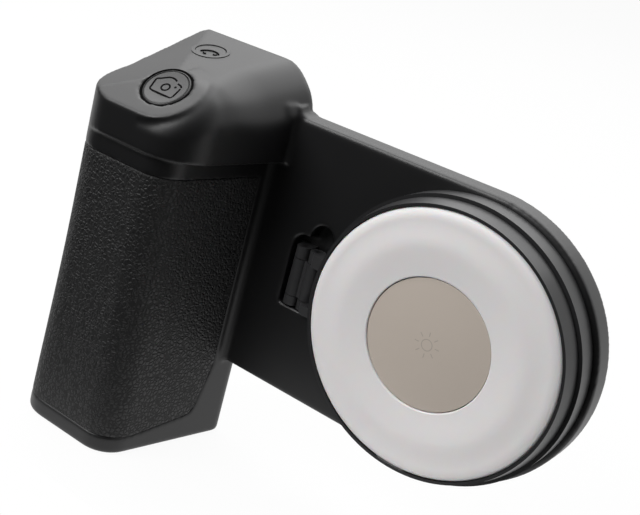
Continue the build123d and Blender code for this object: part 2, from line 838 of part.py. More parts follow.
with BuildPart() as hinge_link:
    with BuildSketch(Plane.XY.offset(middle_bottom_z)):
        with Locations((hinge_inner_x, hinge_y), (hinge_outer_x, hinge_y)):
            Circle(barrel_radius)
        with Locations(((hinge_inner_x + hinge_outer_x) / 2, hinge_y)):
            Rectangle(hinge_pitch, barrel_radius)
        with Locations((hinge_inner_x, hinge_y), (hinge_outer_x, hinge_y)):
            Circle(pin_radius + pin_clearance, mode=Mode.SUBTRACT)
    extrude(amount=middle_length)
hinge_link.part.label = "hinge_link"

# Dock leaf: two knuckles, two arms that climb over the recess edge, and a tongue inside the dock
tongue_back_y = dock_back_y - dock_cover_thickness
tongue_front_y = tongue_back_y - leaf_thickness
tongue_right_x = -dock_radius + leaf_tongue
with BuildPart() as dock_leaf:
    for low_z, high_z in knuckle_spans:
        with BuildSketch(Plane.XY.offset(low_z)):
            with Locations((hinge_outer_x, hinge_y)):
                Circle(barrel_radius)
            with BuildLine():
                Polyline(
                    (hinge_outer_x, hinge_y + barrel_radius / 2),
                    (hinge_outer_x + barrel_radius, hinge_y + barrel_radius / 2),
                    (-dock_radius, tongue_back_y),
                    (tongue_right_x, tongue_back_y),
                    (tongue_right_x, tongue_front_y),
                    (hinge_outer_x + barrel_radius / 2, tongue_front_y),
                    (hinge_outer_x, hinge_y - barrel_radius),
                    close=True,
                )
            make_face()
        extrude(amount=high_z - low_z)
    with BuildSketch(front_plane(tongue_back_y)):
        with Locations((tongue_right_x - leaf_tongue / 2, (barrel_top_z + barrel_bottom_z) / 2)):
            Rectangle(leaf_tongue, barrel_top_z - barrel_bottom_z)
    extrude(amount=leaf_thickness)
    with BuildSketch(Plane.XY.offset(barrel_bottom_z)):
        with Locations((hinge_outer_x, hinge_y)):
            Circle(pin_radius)
    extrude(amount=barrel_top_z - barrel_bottom_z, mode=Mode.SUBTRACT)
    leaf_screw_spots = [
        (tongue_right_x - 2.5, upper_split_z),
        (tongue_right_x - 2.5, lower_split_z),
    ]
    with BuildSketch(front_plane(tongue_back_y)):
        with Locations(*leaf_screw_spots):
            Circle(bracket_screw_radius)
    extrude(amount=leaf_thickness, mode=Mode.SUBTRACT)
dock_leaf.part.label = "dock_leaf"

with BuildPart() as leaf_screws:
    with BuildSketch(front_plane(tongue_back_y)):
        with Locations(*leaf_screw_spots):
            Circle(bracket_screw_radius)
    extrude(amount=leaf_thickness + dock_skin / 2)
leaf_screws.part.label = "leaf_screws"

# Dock disc, open at the back
dock_ring_y = tongue_back_y - magnet_thickness - yoke_thickness
with BuildPart() as dock_plate:
    with BuildSketch(front_plane(dock_back_y)):
        Circle(dock_radius)
    extrude(amount=dock_thickness)
    with BuildSketch(front_plane(dock_back_y)):
        Circle(dock_radius - dock_rim)
    extrude(amount=dock_cover_thickness, mode=Mode.SUBTRACT)
    with BuildSketch(front_plane(tongue_back_y)):
        reach = ring_opening_angle - 2 * magnet_gap_angle
        draw_sector(magnet_inner_radius - ring_clearance, magnet_outer_radius + ring_clearance, 0, 360 - reach)
    extrude(amount=tongue_back_y - dock_ring_y, mode=Mode.SUBTRACT)
    with BuildSketch(front_plane(dock_back_y)):
        with Locations((tongue_right_x - leaf_tongue / 2 - dock_rim / 2, (barrel_top_z + barrel_bottom_z) / 2)):
            Rectangle(leaf_tongue + dock_rim, barrel_top_z - barrel_bottom_z)
    extrude(amount=dock_cover_thickness + leaf_thickness, mode=Mode.SUBTRACT)
    with BuildSketch(front_plane(tongue_front_y)):
        with Locations(*leaf_screw_spots):
            Circle(bracket_screw_radius)
    extrude(amount=dock_skin / 2, mode=Mode.SUBTRACT)
dock_plate.part.label = "dock_plate"

with BuildPart() as dock_cover:
    with BuildSketch(front_plane(dock_back_y)):
        Circle(dock_radius - dock_rim - cover_gap)
    extrude(amount=dock_cover_thickness)
dock_cover.part.label = "dock_cover"

dock_magnets = build_magnets(dock_ring_y, magnet_thickness, 0)
dock_magnets.label = "dock_magnets"
dock_yoke = build_yoke(dock_ring_y + magnet_thickness)
dock_yoke.label = "dock_yoke"

# Light housing: rim with a ledge that carries the board
light_board_back_y = light_back_y - light_board_depth
light_board_front_y = light_board_back_y - light_board_thickness
light_seat_radius = light_radius - light_rim
light_inner_radius = light_seat_radius - light_ledge
light_cover_front_y = light_back_y - light_cover_thickness
light_lip_radius = light_seat_radius + light_lip
light_lip_y = light_front_y + light_lip_drop
light_socket_top = light_lip_radius - socket_length
light_socket_y = light_cover_front_y - socket_height / 2
with BuildPart() as light_housing:
    with BuildSketch(Plane.XY):
        with BuildLine():
            Polyline(
                (light_inner_radius, light_back_y),
                (light_radius, light_back_y),
                (light_lip_radius, light_lip_y),
                (light_inner_radius, light_lip_y),
                close=True,
            )
        make_face()
    revolve(axis=Axis.Y, revolution_arc=360)
    with BuildSketch(front_plane(light_board_back_y)):
        Circle(light_seat_radius)
    extrude(amount=light_thickness, mode=Mode.SUBTRACT)
    with BuildSketch(Plane(origin=(0, light_socket_y, -light_socket_top), x_dir=(1, 0, 0), z_dir=(0, 0, -1))):
        SlotOverall(socket_width + 2 * socket_margin, socket_height + 2 * socket_margin)
    extrude(amount=light_radius - light_socket_top, mode=Mode.SUBTRACT)
light_housing.part.label = "light_housing"

with BuildPart() as light_back_cover:
    with BuildSketch(front_plane(light_back_y)):
        Circle(light_inner_radius - cover_gap)
    extrude(amount=light_cover_thickness)
light_back_cover.part.label = "light_back_cover"

light_magnets = build_magnets(light_cover_front_y - light_magnet_thickness, light_magnet_thickness, 90)
light_magnets.label = "light_magnets"

with BuildPart() as light_battery:
    with BuildSketch(front_plane(light_cover_front_y)):
        Circle(light_battery_radius)
    extrude(amount=light_battery_thickness)
light_battery.part.label = "light_battery"

with BuildPart() as light_board:
    with BuildSketch(front_plane(light_board_back_y)):
        Circle(light_seat_radius)
        with Locations((0, -light_lip_radius)):
            Rectangle(socket_width + 4 * socket_margin, 2 * (socket_length + socket_margin), mode=Mode.SUBTRACT)
    extrude(amount=light_board_thickness)
light_board.part.label = "light_board"

with BuildPart() as light_leds:
    with BuildSketch(front_plane(light_board_front_y)):
        with PolarLocations(led_ring_radius, led_count, start_angle=180 / led_count):
            Rectangle(led_width, led_length)
    extrude(amount=led_height)
light_leds.part.label = "light_leds"

with BuildPart() as light_socket:
    light_mouth = Plane(origin=(0, light_socket_y, -light_lip_radius + socket_margin), x_dir=(1, 0, 0), z_dir=(0, 0, 1))
    with BuildSketch(light_mouth):
        SlotOverall(socket_width, socket_height)
    extrude(amount=socket_length - 2 * socket_wall)
    with BuildSketch(light_mouth):
        SlotOverall(socket_width - 2 * socket_wall, socket_height - 2 * socket_wall)
    extrude(amount=socket_length - 3 * socket_wall, mode=Mode.SUBTRACT)
    with BuildSketch(light_mouth.offset(1)):
        Rectangle(socket_width * 0.7, socket_wall * 2)
    extrude(amount=socket_length - 1 - 3 * socket_wall)
light_socket.part.label = "light_socket"

# Ring diffuser: a skirt on the board and a gently crowned face
diffuser_inner = mirror_radius + diffuser_gap
diffuser_outer = light_seat_radius - cover_gap / 2
diffuser_edge_y = light_front_y + mirror_sink
with BuildPart() as diffuser:
    with BuildSketch(Plane.XY):
        with BuildLine():
            middle_r = (diffuser_inner + diffuser_outer) / 2
            ThreePointArc(
                (diffuser_outer, light_front_y),
                (middle_r, light_front_y - diffuser_crown),
                (diffuser_inner, diffuser_edge_y),
            )
            Polyline(
                (diffuser_inner, diffuser_edge_y),
                (diffuser_inner, diffuser_edge_y + diffuser_thickness),
                (diffuser_outer - light_ledge, diffuser_edge_y + diffuser_thickness),
                (diffuser_outer - light_ledge, light_board_front_y),
                (diffuser_outer, light_board_front_y),
                (diffuser_outer, light_front_y),
            )
        make_face()
    revolve(axis=Axis.Y, revolution_arc=360)
    with BuildSketch(Plane(origin=(0, light_socket_y, -light_socket_top), x_dir=(1, 0, 0), z_dir=(0, 0, -1))):
        SlotOverall(socket_width + 2 * socket_margin, socket_height + 2 * socket_margin)
    extrude(amount=light_radius - light_socket_top, mode=Mode.SUBTRACT)
diffuser.part.label = "diffuser"

# Mirror key in the middle of the light, over its dome switch
dome_front_y = light_board_front_y - dome_height
with BuildPart() as key_dome:
    with BuildSketch(front_plane(light_board_front_y)):
        Circle(dome_radius)
    extrude(amount=dome_height)
key_dome.part.label = "key_dome"

mirror_front_y = light_front_y + mirror_sink
mirror_back_y = mirror_front_y + mirror_thickness
stem_back_y = dome_front_y - mirror_travel - cover_gap / 2
with BuildPart() as mirror_key:
    with BuildSketch(front_plane(mirror_back_y)):
        Circle(mirror_radius)
    extrude(amount=mirror_thickness)
    with BuildSketch(front_plane(stem_back_y)):
        Circle(mirror_stem_radius)
    extrude(amount=stem_back_y - mirror_back_y)
mirror_key.part.label = "mirror_key"

export_step(grip_shell.part, "parts/grip_shell.step")
export_step(grip_wrap.part, "parts/grip_wrap.step")
export_step(back_cover.part, "parts/back_cover.step")
export_step(foot_plate.part, "parts/foot_plate.step")
export_step(tripod_insert.part, "parts/tripod_insert.step")
export_step(cover_screws.part, "parts/cover_screws.step")
export_step(foot_screws.part, "parts/foot_screws.step")
export_step(phone_pad.part, "parts/phone_pad.step")
export_step(phone_magnets, "parts/phone_magnets.step")
export_step(phone_yoke, "parts/phone_yoke.step")
export_step(battery_cell.part, "parts/battery_cell.step")
export_step(battery_cradle.part, "parts/battery_cradle.step")
export_step(main_board.part, "parts/main_board.step")
export_step(usb_socket.part, "parts/usb_socket.step")
export_step(shutter_button.part, "parts/shutter_button.step")
export_step(shutter_switch.part, "parts/shutter_switch.step")
export_step(shutter_board.part, "parts/shutter_board.step")
export_step(pairing_key.part, "parts/pairing_key.step")
export_step(pairing_switch.part, "parts/pairing_switch.step")
export_step(pairing_board.part, "parts/pairing_board.step")
export_step(hinge_bracket.part, "parts/hinge_bracket.step")
export_step(bracket_screws.part, "parts/bracket_screws.step")
export_step(hinge_pin_inner.part, "parts/hinge_pin_inner.step")
export_step(hinge_pin_outer.part, "parts/hinge_pin_outer.step")
export_step(hinge_link.part, "parts/hinge_link.step")
export_step(dock_leaf.part, "parts/dock_leaf.step")
export_step(leaf_screws.part, "parts/leaf_screws.step")
export_step(dock_plate.part, "parts/dock_plate.step")
export_step(dock_cover.part, "parts/dock_cover.step")
export_step(dock_magnets, "parts/dock_magnets.step")
export_step(dock_yoke, "parts/dock_yoke.step")
export_step(light_housing.part, "parts/light_housing.step")
export_step(light_back_cover.part, "parts/light_back_cover.step")
export_step(light_magnets, "parts/light_magnets.step")
export_step(light_battery.part, "parts/light_battery.step")
export_step(light_board.part, "parts/light_board.step")
export_step(light_leds.part, "parts/light_leds.step")
export_step(light_socket.part, "parts/light_socket.step")
export_step(diffuser.part, "parts/diffuser.step")
export_step(key_dome.part, "parts/key_dome.step")
export_step(mirror_key.part, "parts/mirror_key.step")
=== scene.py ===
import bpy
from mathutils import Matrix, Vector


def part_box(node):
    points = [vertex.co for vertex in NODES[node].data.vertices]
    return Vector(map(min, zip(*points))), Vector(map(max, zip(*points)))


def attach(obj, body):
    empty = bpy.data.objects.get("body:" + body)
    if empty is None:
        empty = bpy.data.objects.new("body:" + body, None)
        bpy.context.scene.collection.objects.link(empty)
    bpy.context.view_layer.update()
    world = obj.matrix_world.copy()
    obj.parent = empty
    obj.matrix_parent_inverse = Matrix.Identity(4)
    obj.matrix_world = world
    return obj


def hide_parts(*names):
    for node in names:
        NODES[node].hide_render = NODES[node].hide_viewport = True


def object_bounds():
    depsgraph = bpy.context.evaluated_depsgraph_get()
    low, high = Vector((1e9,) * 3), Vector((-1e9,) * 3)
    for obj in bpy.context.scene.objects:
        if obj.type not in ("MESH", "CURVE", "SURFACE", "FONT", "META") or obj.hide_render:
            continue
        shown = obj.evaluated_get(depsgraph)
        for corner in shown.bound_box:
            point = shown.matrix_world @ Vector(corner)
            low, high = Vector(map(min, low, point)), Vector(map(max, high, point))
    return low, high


bl_info = {
    "name": "Magnetic Phone Grip with Round Fill Light",
    "version": (1, 0, 0),
    "blender": (4, 5, 0),
    "location": "View3D > Sidebar > Phone Grip",
    "description": "Dresses the packed model of a phone camera grip with a fold-out round fill light",
    "category": "Object",
}

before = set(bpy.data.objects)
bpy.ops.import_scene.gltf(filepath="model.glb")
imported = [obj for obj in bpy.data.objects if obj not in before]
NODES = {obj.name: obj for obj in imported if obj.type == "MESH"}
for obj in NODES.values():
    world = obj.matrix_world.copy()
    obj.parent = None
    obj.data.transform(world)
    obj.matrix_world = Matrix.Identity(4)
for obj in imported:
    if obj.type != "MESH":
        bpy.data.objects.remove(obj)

import math

import bmesh
import bpy
import numpy as np
from mathutils import Matrix, Vector

MM = 0.001
FULL_TURN = 2 * math.pi
START_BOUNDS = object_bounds()

# Fineness and small lengths
WELD = 0.002 * MM
NEAR_ZERO = 1e-6
GRAIN_HEIGHT = 0.04 * MM
SIGN_RISE = 0.04 * MM
KEY_SEGMENTS = 96

# Share of the floor that is plain white, the rest holds the shadow, and the even light from all sides
FLOOR_WHITE = 0.95
ROOM_LIGHT = 0.18

# The foot ends before the flare's ramp is full, so the ramp is steeper by this factor
FLARE_GAIN = 1.35

# Blends between the surfaces of the head's smooth form. The match is the cosine between the normals
# of the front and the inner wall, and the form's slope is read over the tiny length
TINY = 0.01 * MM
FRONT_WALL_MATCH = 0.177
CREASE_HALF = 2 * MM
HOLLOW_BLEND = 1.6 * MM
FACET_BLEND = 0.8 * MM
LOBE_EDGE = 0.5 * MM
LOBE_BLEND = 1.0 * MM
LEAST_ROUND = 0.6 * MM

# The rounding beside the lobe grows between these places, from the front to the shoulder
FRONT_ROUND_Y = -34 * MM
SHOULDER_ROUND_Y = -14 * MM

# Where the shell follows the smooth form: heights, the margin at the back and the wall's root behind
HEAD_BOTTOM_Z = 20 * MM
FORM_START_Z = 25 * MM
FORM_FULL_Z = 28 * MM
SHOULDER_BOTTOM_Z = 33.5 * MM
BACK_MARGIN = 0.8 * MM
BACK_FADE = 3 * MM
ROOT_Y = -10 * MM
ROOT_Z = 35 * MM
BUTTON_MARGIN = 1.0 * MM

# Outer skin faces outwards by at least this cosine and lies this near; the inner skin stays this deep
OUTWARD = 0.2
OUTER_REACH = 2.6 * MM
INNER_DEPTH = 0.8 * MM


def corner(node, end, axis):
    """One number of a node's box in the frame: end 0 is the lowest corner, 1 the highest."""
    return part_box(node)[end][axis]


def half_width(node):
    """Radius of a round node that stands on the light's axis."""
    return (corner(node, 1, 0) - corner(node, 0, 0)) / 2


class GripSizes(bpy.types.PropertyGroup):
    """Sizes of the grip's own pieces"""

    voxel: bpy.props.FloatProperty(
        name="Shell Fineness", description="Grid that rounds the moulded shell's edges",
        default=0.45 * MM, unit="LENGTH", precision=5,
    )
    softening: bpy.props.IntProperty(
        name="Edge Softening", description="Smoothing passes over the moulded shell", default=5, min=0,
    )
    button_place: bpy.props.FloatVectorProperty(
        name="Shutter Button", description="Centre of the shutter button's face",
        default=(-69.9 * MM, -32.5 * MM, 34.6 * MM), subtype="XYZ", precision=4,
    )
    button_tilt: bpy.props.FloatProperty(
        name="Shutter Tilt", description="How far the shutter button leans forwards",
        default=math.radians(36.2), subtype="ANGLE",
    )
    button_radius: bpy.props.FloatProperty(
        name="Shutter Radius", description="Radius of the shutter button",
        default=5.7 * MM, unit="LENGTH", precision=4,
    )
    key_place: bpy.props.FloatVectorProperty(
        name="Small Key", description="Centre of the small key's face",
        default=(-75.2 * MM, -12.2 * MM, 40.84 * MM), subtype="XYZ", precision=4,
    )
    key_tilt: bpy.props.FloatProperty(
        name="Key Tilt", description="How far the small key and the head's top lean forwards",
        default=math.radians(11.5), subtype="ANGLE",
    )
    key_radius: bpy.props.FloatProperty(
        name="Key Radius", description="Radius of the small key",
        default=3.6 * MM, unit="LENGTH", precision=4,
    )
    shoulder_radius: bpy.props.FloatProperty(
        name="Shoulder", description="Radius of the head's round shoulder",
        default=12 * MM, unit="LENGTH", precision=4,
    )
    wall_place: bpy.props.FloatProperty(
        name="Inner Wall", description="Where the head's inner wall meets the plate's back",
        default=-49.5 * MM, unit="LENGTH", precision=4,
    )
    wall_drift: bpy.props.FloatProperty(
        name="Wall Drift", description="How far the head's inner wall runs outwards per length forwards",
        default=0.18,
    )
    back_round: bpy.props.FloatProperty(
        name="Back Rounding", description="Rounding of the shoulder's back edge",
        default=2.6 * MM, unit="LENGTH", precision=4,
    )
    side_dip: bpy.props.FloatProperty(
        name="Side Dip", description="How far the head's outer top edge sags halfway",
        default=0.3 * MM, unit="LENGTH", precision=4,
    )
    lobe_radius: bpy.props.FloatProperty(
        name="Lobe", description="Radius of the round lobe under the shutter button",
        default=10 * MM, unit="LENGTH", precision=4,
    )
    scoop_tilt: bpy.props.FloatProperty(
        name="Scoop Tilt", description="Slope of the hollow beside the lobe",
        default=math.radians(39.5), subtype="ANGLE",
    )
    rim_round: bpy.props.FloatProperty(
        name="Front Rounding", description="Rounding between the hollow and the front wall",
        default=6.5 * MM, unit="LENGTH", precision=4,
    )
    head_softening: bpy.props.IntProperty(
        name="Head Softening", description="Extra smoothing passes beside the lobe", default=24, min=0,
    )
    foot_flare: bpy.props.FloatProperty(
        name="Foot Flare", description="How far the handle's outer side runs outwards down to the foot",
        default=1.3 * MM, unit="LENGTH", precision=4,
    )


class LightSizes(bpy.types.PropertyGroup):
    """Sizes of the round light's own pieces"""

    segments: bpy.props.IntProperty(
        name="Segments", description="Segments round the turned pieces", default=160, min=32,
    )
    dish_depth: bpy.props.FloatProperty(
        name="Diffuser Dish", description="How far the diffuser falls towards the mirror key",
        default=0.4 * MM, unit="LENGTH", precision=4,
    )


class FinishColours(bpy.types.PropertyGroup):
    """Colours of the finishes"""

    soft_black: bpy.props.FloatVectorProperty(
        name="Soft Black", description="Soft-touch coat of the shell",
        subtype="COLOR", default=(0.005, 0.005, 0.0055), min=0, max=1,
    )
    leather: bpy.props.FloatVectorProperty(
        name="Leather", description="Pebbled wrap",
        subtype="COLOR", default=(0.007, 0.007, 0.0075), min=0, max=1,
    )
    opal: bpy.props.FloatVectorProperty(
        name="Opal", description="Ring diffuser",
        subtype="COLOR", default=(0.81, 0.785, 0.785), min=0, max=1,
    )
    mirror_film: bpy.props.FloatVectorProperty(
        name="Mirror Film", description="Half-silvered key",
        subtype="COLOR", default=(0.54, 0.475, 0.415), min=0, max=1,
    )
    satin_grey: bpy.props.FloatVectorProperty(
        name="Satin Grey", description="Rims of the dock and the light",
        subtype="COLOR", default=(0.018, 0.018, 0.019), min=0, max=1,
    )


class StageSettings(bpy.types.PropertyGroup):
    """Camera and floor"""

    camera_place: bpy.props.FloatVectorProperty(
        name="Camera Place", description="Where the photographer's lens stands",
        default=(91.441 * MM, -235.71 * MM, 96.293 * MM), subtype="XYZ", precision=4,
    )
    camera_turn: bpy.props.FloatVectorProperty(
        name="Camera Turn", description="Camera rotation",
        default=(math.radians(70.502), math.radians(-12.44), math.radians(39.765)), subtype="EULER",
    )
    lens: bpy.props.FloatProperty(
        name="Lens", description="Focal length for a 36 mm wide sensor", default=67.375,
    )
    shift: bpy.props.FloatVectorProperty(
        name="Shift", description="Place of the lens axis in the frame", size=2, default=(0.1875, -0.0658),
    )
    floor_size: bpy.props.FloatProperty(
        name="Floor Size", description="Side of the pale floor", default=2.4, unit="LENGTH",
    )
    floor_front: bpy.props.FloatProperty(
        name="Floor Front", description="Where the floor ends in front of the grip",
        default=-0.055, unit="LENGTH", precision=4,
    )
    floor_drop: bpy.props.FloatProperty(
        name="Floor Gap", description="Gap under the foot",
        default=0.05 * MM, unit="LENGTH", precision=5,
    )


def grip_sizes():
    """The grip's sizes, as set in the scene."""
    return bpy.context.scene.phone_grip_sizes


def light_sizes():
    """The round light's sizes, as set in the scene."""
    return bpy.context.scene.phone_grip_light


def colours():
    """The finishes' colours, as set in the scene."""
    return bpy.context.scene.phone_grip_colours


def stage_settings():
    """The stage's settings, as set in the scene."""
    return bpy.context.scene.phone_grip_stage


# Material helpers

def new_group(name, inputs, outputs):
    """An empty shader node group with its sockets, and its input and output nodes."""
    group = bpy.data.node_groups.new(name, "ShaderNodeTree")
    for label, kind, value in inputs:
        socket = group.interface.new_socket(label, in_out="INPUT", socket_type=kind)
        if value is not None:
            socket.default_value = value
    for label, kind in outputs:
        group.interface.new_socket(label, in_out="OUTPUT", socket_type=kind)
    start = group.nodes.new("NodeGroupInput")
    end = group.nodes.new("NodeGroupOutput")
    start.location = (-900, 0)
    end.location = (700, 0)
    return group, start, end


def place(tree, kind, spot, **values):
    """Adds a node and sets its attributes and sockets; _ in a name stands for a space."""
    node = tree.nodes.new(kind)
    node.location = spot
    for name, value in values.items():
        if hasattr(node, name):
            setattr(node, name, value)
        else:
            node.inputs[name.replace("_", " ")].default_value = value
    return node


def wire(tree, *links):
    """Joins sockets. Each link is a node, its output, the next node and that one's input."""
    for node, output, next_node, entry in links:
        tree.links.new(node.outputs[output], next_node.inputs[entry])


def fine_grain_group():
    """Moulded-plastic grain: a height, a slightly uneven roughness and a faint tone change."""
    group, start, end = new_group(
        "Fine Grain",
        [("Scale", "NodeSocketFloat", 2500.0), ("Roughness", "NodeSocketFloat", 0.5),
         ("Spread", "NodeSocketFloat", 0.05), ("Tone", "NodeSocketFloat", 0.12),
         ("Colour", "NodeSocketColor", (0.02, 0.02, 0.02, 1))],
        [("Height", "NodeSocketFloat"), ("Roughness", "NodeSocketFloat"), ("Colour", "NodeSocketColor")],
    )
    spot = place(group, "ShaderNodeTexCoord", (-900, 300))
    grain = place(group, "ShaderNodeTexNoise", (-600, 300), Detail=3.0)
    cloud = place(group, "ShaderNodeTexNoise", (-600, -50), Scale=70.0, Detail=3.0)
    spread = place(group, "ShaderNodeMath", (-350, -50), operation="MULTIPLY_ADD")
    centre = place(group, "ShaderNodeMath", (-350, 100), operation="SUBTRACT")
    centre.inputs[1].default_value = 0.5
    low = place(group, "ShaderNodeMath", (-600, -300), operation="SUBTRACT")
    low.inputs[0].default_value = 1.0
    high = place(group, "ShaderNodeMath", (-600, -450), operation="ADD")
    high.inputs[0].default_value = 1.0
    tone = place(group, "ShaderNodeMapRange", (-350, -300))
    tint = place(group, "ShaderNodeVectorMath", (-100, -300), operation="SCALE")
    wire(
        group,
        (spot, "Object", grain, "Vector"),
        (spot, "Object", cloud, "Vector"),
        (start, "Scale", grain, "Scale"),
        (cloud, "Fac", centre, 0),
        (centre, 0, spread, 0),
        (start, "Spread", spread, 1),
        (start, "Roughness", spread, 2),
        (start, "Tone", low, 1),
        (start, "Tone", high, 1),
        (low, 0, tone, "To Min"),
        (high, 0, tone, "To Max"),
        (cloud, "Fac", tone, "Value"),
        (start, "Colour", tint, 0),
        (tone, "Result", tint, "Scale"),
        (grain, "Fac", end, "Height"),
        (spread, 0, end, "Roughness"),
        (tint, "Vector", end, "Colour"),
    )
    return group


def pebble_group():
    """Leather pebbles: domed cells with creases between them, and a height for fine pores."""
    group, start, end = new_group(
        "Leather Pebbles",
        [("Scale", "NodeSocketFloat", 900.0), ("Warp", "NodeSocketFloat", 0.0006)],
        [("Height", "NodeSocketFloat"), ("Crease", "NodeSocketFloat")],
    )
    spot = place(group, "ShaderNodeTexCoord", (-900, 300))
    drift = place(group, "ShaderNodeTexNoise", (-900, 0), Scale=450.0, Detail=2.0)
    centre = place(group, "ShaderNodeVectorMath", (-700, 0), operation="SUBTRACT")
    centre.inputs[1].default_value = (0.5, 0.5, 0.5)
    amount = place(group, "ShaderNodeVectorMath", (-520, 0), operation="SCALE")
    warped = place(group, "ShaderNodeVectorMath", (-350, 200), operation="ADD")
    cells = place(group, "ShaderNodeTexVoronoi", (-150, 250), feature="DISTANCE_TO_EDGE", Randomness=0.9)
    dome = place(group, "ShaderNodeMapRange", (60, 250), interpolation_type="SMOOTHERSTEP", From_Max=0.32)
    pores = place(group, "ShaderNodeTexNoise", (-150, -50), Scale=5200.0, Detail=2.0)
    both = place(group, "ShaderNodeMath", (300, 100), operation="MULTIPLY_ADD")
    both.inputs[1].default_value = 0.18
    wire(
        group,
        (spot, "Object", drift, "Vector"),
        (drift, "Color", centre, 0),
        (centre, "Vector", amount, 0),
        (start, "Warp", amount, "Scale"),
        (spot, "Object", warped, 0),
        (amount, "Vector", warped, 1),
        (warped, "Vector", cells, "Vector"),
        (start, "Scale", cells, "Scale"),
        (spot, "Object", pores, "Vector"),
        (cells, "Distance", dome, "Value"),
        (pores, "Fac", both, 0),
        (dome, "Result", both, 2),
        (both, 0, end, "Height"),
        (dome, "Result", end, "Crease"),
    )
    return group


def new_material(name, colour):
    """A material with its node tree and the Principled BSDF in it."""
    material = bpy.data.materials.new(name)
    material.use_nodes = True
    material.diffuse_color = (*colour, 1)
    tree = material.node_tree
    return material, tree, tree.nodes["Principled BSDF"]


def finish(name, colour, roughness, grain=2500.0, bump=0.1, spread=0.06, tone=0.12, **sockets):
    """A plain finish: the Principled BSDF fed by the fine grain group."""
    material, tree, shader = new_material(name, colour)
    group = place(
        tree, "ShaderNodeGroup", (-500, 0), node_tree=bpy.data.node_groups["Fine Grain"],
        Scale=grain, Roughness=roughness, Spread=spread, Tone=tone, Colour=(*colour, 1),
    )
    relief = place(tree, "ShaderNodeBump", (-250, -200), Strength=bump, Distance=GRAIN_HEIGHT)
    wire(
        tree,
        (group, "Colour", shader, "Base Color"),
        (group, "Roughness", shader, "Roughness"),
        (group, "Height", relief, "Height"),
        (relief, "Normal", shader, "Normal"),
    )
    for label, value in sockets.items():
        shader.inputs[label.replace("_", " ")].default_value = value
    return material


def leather_finish(colour):
    """Black pebbled leather: raised pebbles are smoother and catch the light, the creases stay dull; the
    colour holds painted shade in the creases and a painted lift of light on the pebble tops.
    """
    material, tree, shader = new_material("pebbled leather", colour)
    pebbles = place(
        tree, "ShaderNodeGroup", (-900, 0), node_tree=bpy.data.node_groups["Leather Pebbles"],
        Scale=980.0, Warp=0.9 * MM,
    )
    grain = place(
        tree, "ShaderNodeGroup", (-900, -300), node_tree=bpy.data.node_groups["Fine Grain"],
        Colour=(*colour, 1),
    )
    rough = place(tree, "ShaderNodeMapRange", (-550, -150), To_Min=0.72, To_Max=0.5)
    # Painted shade and light: the colour falls to 0.45 in the creases and rises to 1.15 on the pebble tops
    shade = place(tree, "ShaderNodeMapRange", (-550, 150), To_Min=0.45, To_Max=1.15)
    tint = place(tree, "ShaderNodeVectorMath", (-300, 150), operation="SCALE")
    relief = place(tree, "ShaderNodeBump", (-300, -250), Strength=0.8, Distance=0.2 * MM)
    wire(
        tree,
        (pebbles, "Crease", rough, "Value"),
        (pebbles, "Crease", shade, "Value"),
        (grain, "Colour", tint, 0),
        (shade, "Result", tint, "Scale"),
        (tint, "Vector", shader, "Base Color"),
        (rough, "Result", shader, "Roughness"),
        (pebbles, "Height", relief, "Height"),
        (relief, "Normal", shader, "Normal"),
    )
    return material


def make_finishes():
    """Every finish of the object, by its name."""
    fine_grain_group()
    pebble_group()
    own = colours()
    looks = {
        "soft black": dict(colour=own.soft_black, roughness=0.42, bump=0.12, tone=0.05, spread=0.03),
        "cover black": dict(colour=(0.026, 0.026, 0.028), roughness=0.6, grain=1800.0, bump=0.35),
        "pad rubber": dict(colour=(0.03, 0.03, 0.031), roughness=0.72, grain=3200.0, bump=0.15),
        "satin grey": dict(colour=own.satin_grey, roughness=0.36, bump=0.05, tone=0.04, spread=0.03),
        "hinge metal": dict(colour=(0.05, 0.05, 0.052), roughness=0.42, Metallic=0.35),
        "opal": dict(
            colour=own.opal, roughness=0.5, bump=0.0, spread=0.02, tone=0.0,
            Subsurface_Weight=0.15, Subsurface_Scale=2 * MM,
        ),
        "mirror film": dict(
            colour=own.mirror_film, roughness=0.3, bump=0.0, spread=0.02, tone=0.01,
            Coat_Weight=0.25, Coat_Roughness=0.06,
        ),
        "film mark": dict(colour=(0.40, 0.355, 0.31), roughness=0.45, bump=0.0, tone=0.02),
        # Near-black with almost no gloss: print colour of the signs, and painted shade on the lining of the
        # button's gap
        "ink and painted shade": dict(colour=(0.003, 0.003, 0.003), roughness=0.9, bump=0.0, Specular_IOR_Level=0.05),
        "screw steel": dict(colour=(0.16, 0.16, 0.165), roughness=0.35, Metallic=1.0),
        "bare steel": dict(colour=(0.5, 0.5, 0.5), roughness=0.35, bump=0.2, Metallic=1.0),
        "nickel": dict(colour=(0.6, 0.58, 0.55), roughness=0.22, bump=0.05, Metallic=1.0),
        "brass": dict(colour=(0.7, 0.5, 0.22), roughness=0.3, bump=0.2, Metallic=1.0),
        "cell sleeve": dict(colour=(0.05, 0.16, 0.4), roughness=0.3),
        "board green": dict(colour=(0.02, 0.12, 0.05), roughness=0.35),
        "moulded grey": dict(colour=(0.09, 0.09, 0.09), roughness=0.55, bump=0.2),
        "lamp phosphor": dict(colour=(0.85, 0.8, 0.5), roughness=0.4, bump=0.05),
    }
    finishes = {name: finish(name, **look) for name, look in looks.items()}
    finishes["leather"] = leather_finish(own.leather)
    return finishes


FINISHES = {}


def coat(obj, name):
    """Gives a mesh one finish."""
    obj.data.materials.clear()
    obj.data.materials.append(FINISHES[name])


def coat_nodes(finish_name, *nodes):
    """Gives frame nodes one finish."""
    for node in nodes:
        coat(NODES[node], finish_name)


# Mesh helpers

def add_mesh(name, bm, finish_name, body, smooth=True):
    """Turns a bmesh into a piece with its finish, riding on its body."""
    mesh = bpy.data.meshes.new(name)
    bmesh.ops.recalc_face_normals(bm, faces=bm.faces)
    bm.to_mesh(mesh)
    bm.free()
    obj = bpy.data.objects.new(name, mesh)
    bpy.context.collection.objects.link(obj)
    settle(obj, finish_name, body, smooth)
    return obj


